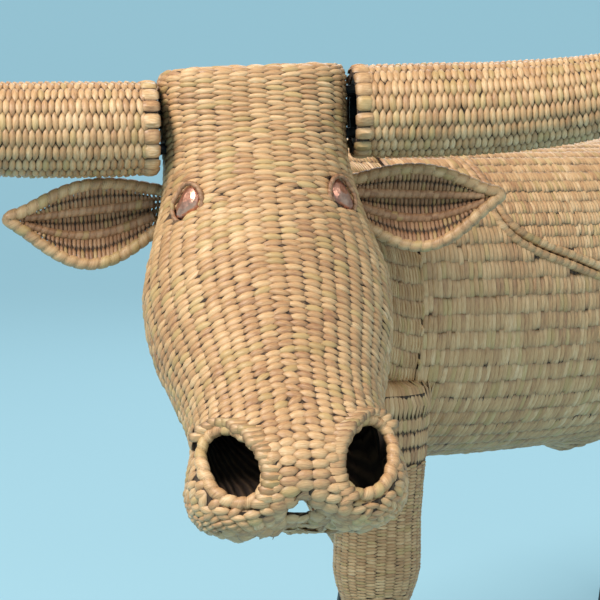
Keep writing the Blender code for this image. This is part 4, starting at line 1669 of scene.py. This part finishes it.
class Horn:
    """One long horn of woven rounds, with a bound mouth that slips over the iron fork."""

    line = (
        (0.1080, 0.030, 0.000, 0.0480),
        (0.180, 0.032, 0.002, 0.0495),
        (0.290, 0.037, 0.008, 0.0480),
        (0.395, 0.046, 0.024, 0.0435),
        (0.480, 0.058, 0.060, 0.0360),
        (0.545, 0.068, 0.118, 0.0260),
        (0.583, 0.072, 0.186, 0.0155),
        (0.597, 0.072, 0.236, 0.0070),
    )
    level = {Side.LEFT: 0.0085, Side.RIGHT: -0.0005}
    tilt = {Side.LEFT: -3.2, Side.RIGHT: -0.2}
    rows = 300
    columns = 72
    mouth = 0.012

    def __init__(self, head: HeadFrame, side: Side) -> None:
        """Places the horn's middle line.

        Args:
            head: Directions and place of the turned head.
            side: Which side it is on.
        """
        self.side = side
        table = smooth_rows(self.line, self.rows)
        drop = math.tan(math.radians(self.tilt[side])) * (table[:, 0] - self.line[0][0])
        up = table[:, 2] + self.level[side] + drop
        rows = zip(table[:, 0], table[:, 1], up, strict=True)
        self.centres = rows_of([head.at(side.value * o, a, u) for o, a, u in rows])
        self.axes = unit(np.gradient(self.centres, axis=0))
        self.radii = table[:, 3]

    def build(self, loom: Loom, looks: Finishes) -> None:
        """Weaves the horn and binds its mouth.

        Args:
            loom: The loom that makes the pieces.
            looks: The finishes.
        """
        label = self.side.label
        body = f"horn_{label}"
        ups = level_rows((0.0, 0.0, 1.0), self.rows)
        ups = unit(ups - self.axes * (ups * self.axes).sum(1, keepdims=True))
        ways = ring_ways(ups, self.axes, self.columns)
        points = self.centres[:, None] + ways * self.radii[:, None, None]
        surface = Surface(points, np.ones(points.shape[:2], bool))
        gone = run_length(self.centres)
        start = int(np.searchsorted(gone, self.mouth))
        laid = Weave(
            (0.0074, 0.0050), 0.0168, 0.0021, 51 + self.side.value
        ).lay(surface.part(start, self.rows))
        loom.lay(f"horn_weave_{label}", body, laid, looks.strands)
        band = Weave(
            (
                0.0155, 0.0155
            ), 0.0172, 0.0026, 55 + self.side.value, run=Run.LENGTHWISE, overlap=1.35, fullness=0.93,
            stagger=0.0, turning=0.04, lean=2.0, jitter=0.04,
        )
        laid = band.lay(surface.part(0, start + 2))
        laid = laid.picked(np.linalg.norm(laid.places - self.centres[0], axis=1) < self.radii[0] + 0.004)
        laid.sizes[:, 2] = 0.0034
        loom.lay(f"horn_mouth_{label}", body, laid, looks.strands, Cut.BLUNT)
        looks.dress(f"horn_sleeve_{label}", looks.shell)
        for name in (f"horn_ring_{label}", f"horn_fork_{label}"):
            looks.dress(name, looks.iron)


class Leg:
    """One leg sleeve of fine strands, bound at its foot over the iron hoof."""

    rows = 190
    upright_from = 0.385

    def __init__(self, name: str) -> None:
        """Finds the leg's middle line from its sleeve.

        Args:
            name: Its name.
        """
        self.name = name
        node = f"leg_sleeve_{name}"
        low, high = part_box(node)
        corners = corners_of(node)
        zs = np.linspace(low.z + 0.001, high.z - 0.002, self.rows)
        marks = np.unique(np.round(corners[:, 2], 4))
        marks = [z for z in marks if (abs(corners[:, 2] - z) < 2e-4).sum() >= 24]
        rings = [corners[abs(corners[:, 2] - z) < 2e-4] for z in marks]
        middles = np.array([(r.min(0) + r.max(0)) / 2 for r in rings])
        keep = [i for i, z in enumerate(marks) if z < low.z + 0.62 * (high.z - low.z) or i == 0]
        middles = middles[keep] if len(keep) > 1 else middles
        xs = np.interp(zs, middles[:, 2], middles[:, 0])
        ys = np.interp(zs, middles[:, 2], middles[:, 1])
        self.centres = np.stack([xs, ys, zs], axis=1)

    def build(self, loom: Loom, looks: Finishes) -> None:
        """Weaves the sleeve and binds its foot.

        Args:
            loom: The loom that makes the pieces.
            looks: The finishes.
        """
        count = len(self.centres)
        ups = level_rows((0.0, -1.0, 0.0), count)
        axes = level_rows((0.0, 0.0, 1.0), count)
        node = f"leg_sleeve_{self.name}"
        surface = Surface.around((node,), self.centres, ups, axes, 0.14, turns=72, smooth=(3.0, 2.0))
        shell = tree_of(node)
        change = int(np.searchsorted(self.centres[:, 2], self.upright_from))
        low = Weave((0.0038, 0.0042), 0.0108, 0.0013, 61, jitter=0.02).lay(surface.part(0, change))
        high = Weave(
            (
                0.020, 0.020
            ), 0.0062, 0.0016, 62, run=Run.LENGTHWISE, stagger=0.0, overlap=1.06, fullness=1.25, jitter=0.06
        ).lay(surface.part(change - 1, count))
        laid = low.joined(high).settled(shell, 0.003)
        laid = laid.joined(self.collar(surface.points))
        loom.lay(f"leg_weave_{self.name}", "bull", laid, looks.strands, cut=Cut.FINE)
        looks.dress(node, looks.shell)
        ring = surface.points[3][::2]
        loom.wind(
            f"leg_foot_{self.name}", "bull", ring, 0.0045, 0.0075, looks.wrapping, groove=0.0009, sides=10
        )
        looks.dress(f"hoof_{self.name}", looks.iron)
        looks.dress(f"leg_rod_{self.name}", looks.iron)

    def collar(self, points: np.ndarray) -> Laid:
        """Upright strands that tie the top of the sleeve to the body.

        Args:
            points: Points of the form.

        Returns:
            The strands.
        """
        body = tree_of("body_tub", "neck_sleeve")
        rng = np.random.default_rng(63)
        top, low = points[-1], points[-18]
        centre = top.mean(0)
        rows = []
        for angle in np.arange(0.0, math.tau, 0.0062 / np.linalg.norm(top[0] - centre)):
            column = angle / math.tau * len(top)
            k, f = int(column) % len(top), column - int(column)
            after = (k + 1) % len(top)
            edge, start = top[k] * (1 - f) + top[after] * f, low[k] * (1 - f) + low[after] * f
            out = unit((edge - centre) * (1, 1, 0))
            seek = Vector(edge + out * 0.05) + UP * 0.018
            spot, _, _, far = body.ray_cast(seek, -Vector(out), 0.085)
            if spot is None or far < 0.02:
                continue
            end = np.array(spot)
            span = end - start
            over = unit(out - unit(span) * (out @ unit(span)))
            sag = float((edge - (start + end) / 2) @ over)
            middle = (start + end) / 2 + over * (sag + 0.001)
            size = (np.linalg.norm(span) * rng.uniform(1.0, 1.12), 0.0078, 0.0018)
            rows.append((middle, unit(span), over, size, sag))
        columns = [np.array([r[k] for r in rows], float).reshape(-1, 3) for k in range(4)]
        return Laid(*columns, np.array([r[4] for r in rows], float))


class Tail:
    """A wound tail with a tuft of loose strand ends."""

    def build(self, loom: Loom, looks: Finishes) -> None:
        """Winds the tail and lays the strands of its tuft.

        Args:
            loom: The loom that makes the pieces.
            looks: The finishes.
        """
        corners = corners_of("tail")
        low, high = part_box("tail")
        zs = np.linspace(high.z - 0.004, low.z + 0.002, 30)
        ys = [
            np.average(corners[:, 1], weights=np.exp(-(((corners[:, 2] - z) / 0.016) ** 2)) + 1e-9)
            for z in zs
        ]
        path = np.stack([np.full(30, (low.x + high.x) / 2), ys, zs], axis=1)
        piece = loom.wind(
            "tail_winding", "bull", path, 0.0112, 0.0120, looks.wrapping, closed=False, groove=0.0018
        )
        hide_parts("tail")
        low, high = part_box("tail_tuft")
        count = 120
        zs = np.linspace(high.z - 0.001, low.z + 0.003, count)
        middle = (low + high) / 2
        centres = np.stack([np.full(count, middle.x), np.full(count, middle.y), zs], axis=1)
        ups = level_rows((0.0, 1.0, 0.0), count)
        axes = level_rows((0.0, 0.0, -1.0), count)
        surface = Surface.around(("tail_tuft",), centres, ups, axes, 0.06, turns=48)
        weave = Weave((0.0120, 0.0120), 0.0034, 0.0016, 71, run=Run.LENGTHWISE, overlap=4.4, fullness=1.2)
        loom.lay("tuft_strands", "bull", weave.lay(surface), looks.strands, cut=Cut.FINE)
        looks.dress("tail_tuft", looks.shell)


class Ironwork:
    """The iron that shows as it is: hinges, hoops, rods and ribs."""

    starts = ("hinge", "hoof", "keel", "leg_rod", "lid_edge", "tub_edge", "neck_rod", "nose_bar", "rib_")

    def dress(self, looks: Finishes) -> None:
        """Blackens every iron node.

        Args:
            looks: The finishes.
        """
        for name in NODES:
            if name.startswith(self.starts):
                looks.dress(name, looks.iron)


@dataclass
class Studio:
    """A pale blue sweep all round, soft lamps and the camera."""

    away: float = 1.871
    aside: float = 0.053
    height: float = 0.80
    azimuth: float = 50.0
    pitch: float = 6.0
    lens: float = 100.8
    sweep: Colour = (0.366, 0.617, 0.716)

    def build(self, head: HeadFrame) -> None:
        """Sets the studio round the bull.

        Args:
            head: Directions and place of the turned head.
        """
        turn = math.radians(self.azimuth)
        back = Vector((math.sin(turn), -math.cos(turn), 0.0))
        right = Vector((math.cos(turn), math.sin(turn), 0.0))
        place = head.poll + back * self.away + right * self.aside
        place.z = self.height
        pitch = math.radians(self.pitch)
        facing = -back * math.cos(pitch) - UP * math.sin(pitch)
        camera = bpy.data.cameras.new("camera")
        camera.lens = self.lens
        camera.sensor_width = 36.0
        camera.clip_end = 60.0
        holder = bpy.data.objects.new("camera", camera)
        bpy.context.scene.collection.objects.link(holder)
        holder.location = place
        holder.rotation_euler = facing.to_track_quat("-Z", "Y").to_euler()
        bpy.context.scene.camera = holder
        bpy.context.scene.view_settings.view_transform = "Standard"
        self.backdrop()
        self.lamp("key", Vector((0.3, -2.9, 3.1)), 1.3, 175.0, (1.0, 0.96, 0.90))
        self.lamp("side", Vector((3.4, -0.6, 2.2)), 2.2, 45.0, (1.0, 0.98, 0.95))
        self.lamp("rim", Vector((-2.6, 2.6, 3.2)), 2.0, 50.0, (0.94, 0.97, 1.0))
        world = bpy.data.worlds.new("air")
        world.use_nodes = True
        background = world.node_tree.nodes["Background"]
        background.inputs["Color"].default_value = (0.80, 0.88, 0.92, 1.0)
        background.inputs["Strength"].default_value = 0.50
        bpy.context.scene.world = world

    def backdrop(self) -> None:
        """A floor that rises into a wall all round."""
        profile = [(0.0, 0.0), (5.0, 0.0), (7.0, 0.0)]
        profile += [
            (7.0 + 3.0 * math.sin(a), 3.0 - 3.0 * math.cos(a)) for a in np.linspace(0.15, math.pi / 2, 10)
        ]
        profile += [(10.0, 6.0)]
        sides = 64
        points = [
            (r * math.cos(math.tau * k / sides), r * math.sin(math.tau * k / sides), z - 0.0005)
            for r, z in profile
            for k in range(sides)
        ]
        faces = [
            (
                i * sides + k,
                i * sides + (k + 1) % sides,
                (i + 1) * sides + (k + 1) % sides,
                (i + 1) * sides + k,
            )
            for i in range(len(profile) - 1)
            for k in range(sides)
        ]
        mesh = bpy.data.meshes.new("sweep")
        mesh.from_pydata(points, [], faces)
        mesh.shade_smooth()
        look = Shading("sweep_paint")
        look.shader.inputs["Base Color"].default_value = (*(c * 0.45 for c in self.sweep), 1.0)
        look.shader.inputs["Roughness"].default_value = 1.0
        look.shader.inputs["Emission Color"].default_value = (*self.sweep, 1.0)
        look.shader.inputs["Emission Strength"].default_value = 0.60
        mesh.materials.append(look.material)
        linked("sweep", mesh)

    def lamp(self, name: str, place: Vector, size: float, power: float, colour: Colour) -> None:
        """A soft square lamp that faces the bull.

        Args:
            name: Its name.
            place: Where it hangs.
            size: Length of its edge.
            power: Its strength, in watts.
            colour: Colour of its light.
        """
        light = bpy.data.lights.new(name, "AREA")
        light.size = size
        light.energy = power
        light.color = colour
        holder = bpy.data.objects.new(name, light)
        bpy.context.scene.collection.objects.link(holder)
        holder.location = place
        holder.rotation_euler = (Vector((0.0, 0.0, 0.6)) - place).to_track_quat("-Z", "Y").to_euler()


def main() -> None:
    """Builds the looks of the bull in order."""
    logging.basicConfig(level=logging.INFO, format="%(message)s")
    head = HeadFrame()
    Studio().build(head)
    looks = Finishes()
    Ironwork().dress(looks)
    loom = Loom()
    barrel = Barrel()
    barrel.build(loom, looks)
    Neck().build(loom, looks, barrel)
    Head(head).build(loom, looks)
    for side in Side:
        Horn(head, side).build(loom, looks)
        Ear(head, side).build(loom, looks)
    for name in ("front_left", "front_right", "hind_left", "hind_right"):
        Leg(name).build(loom, looks)
    Tail().build(loom, looks)
    loom.clear()


if __name__ == "__main__":
    main()
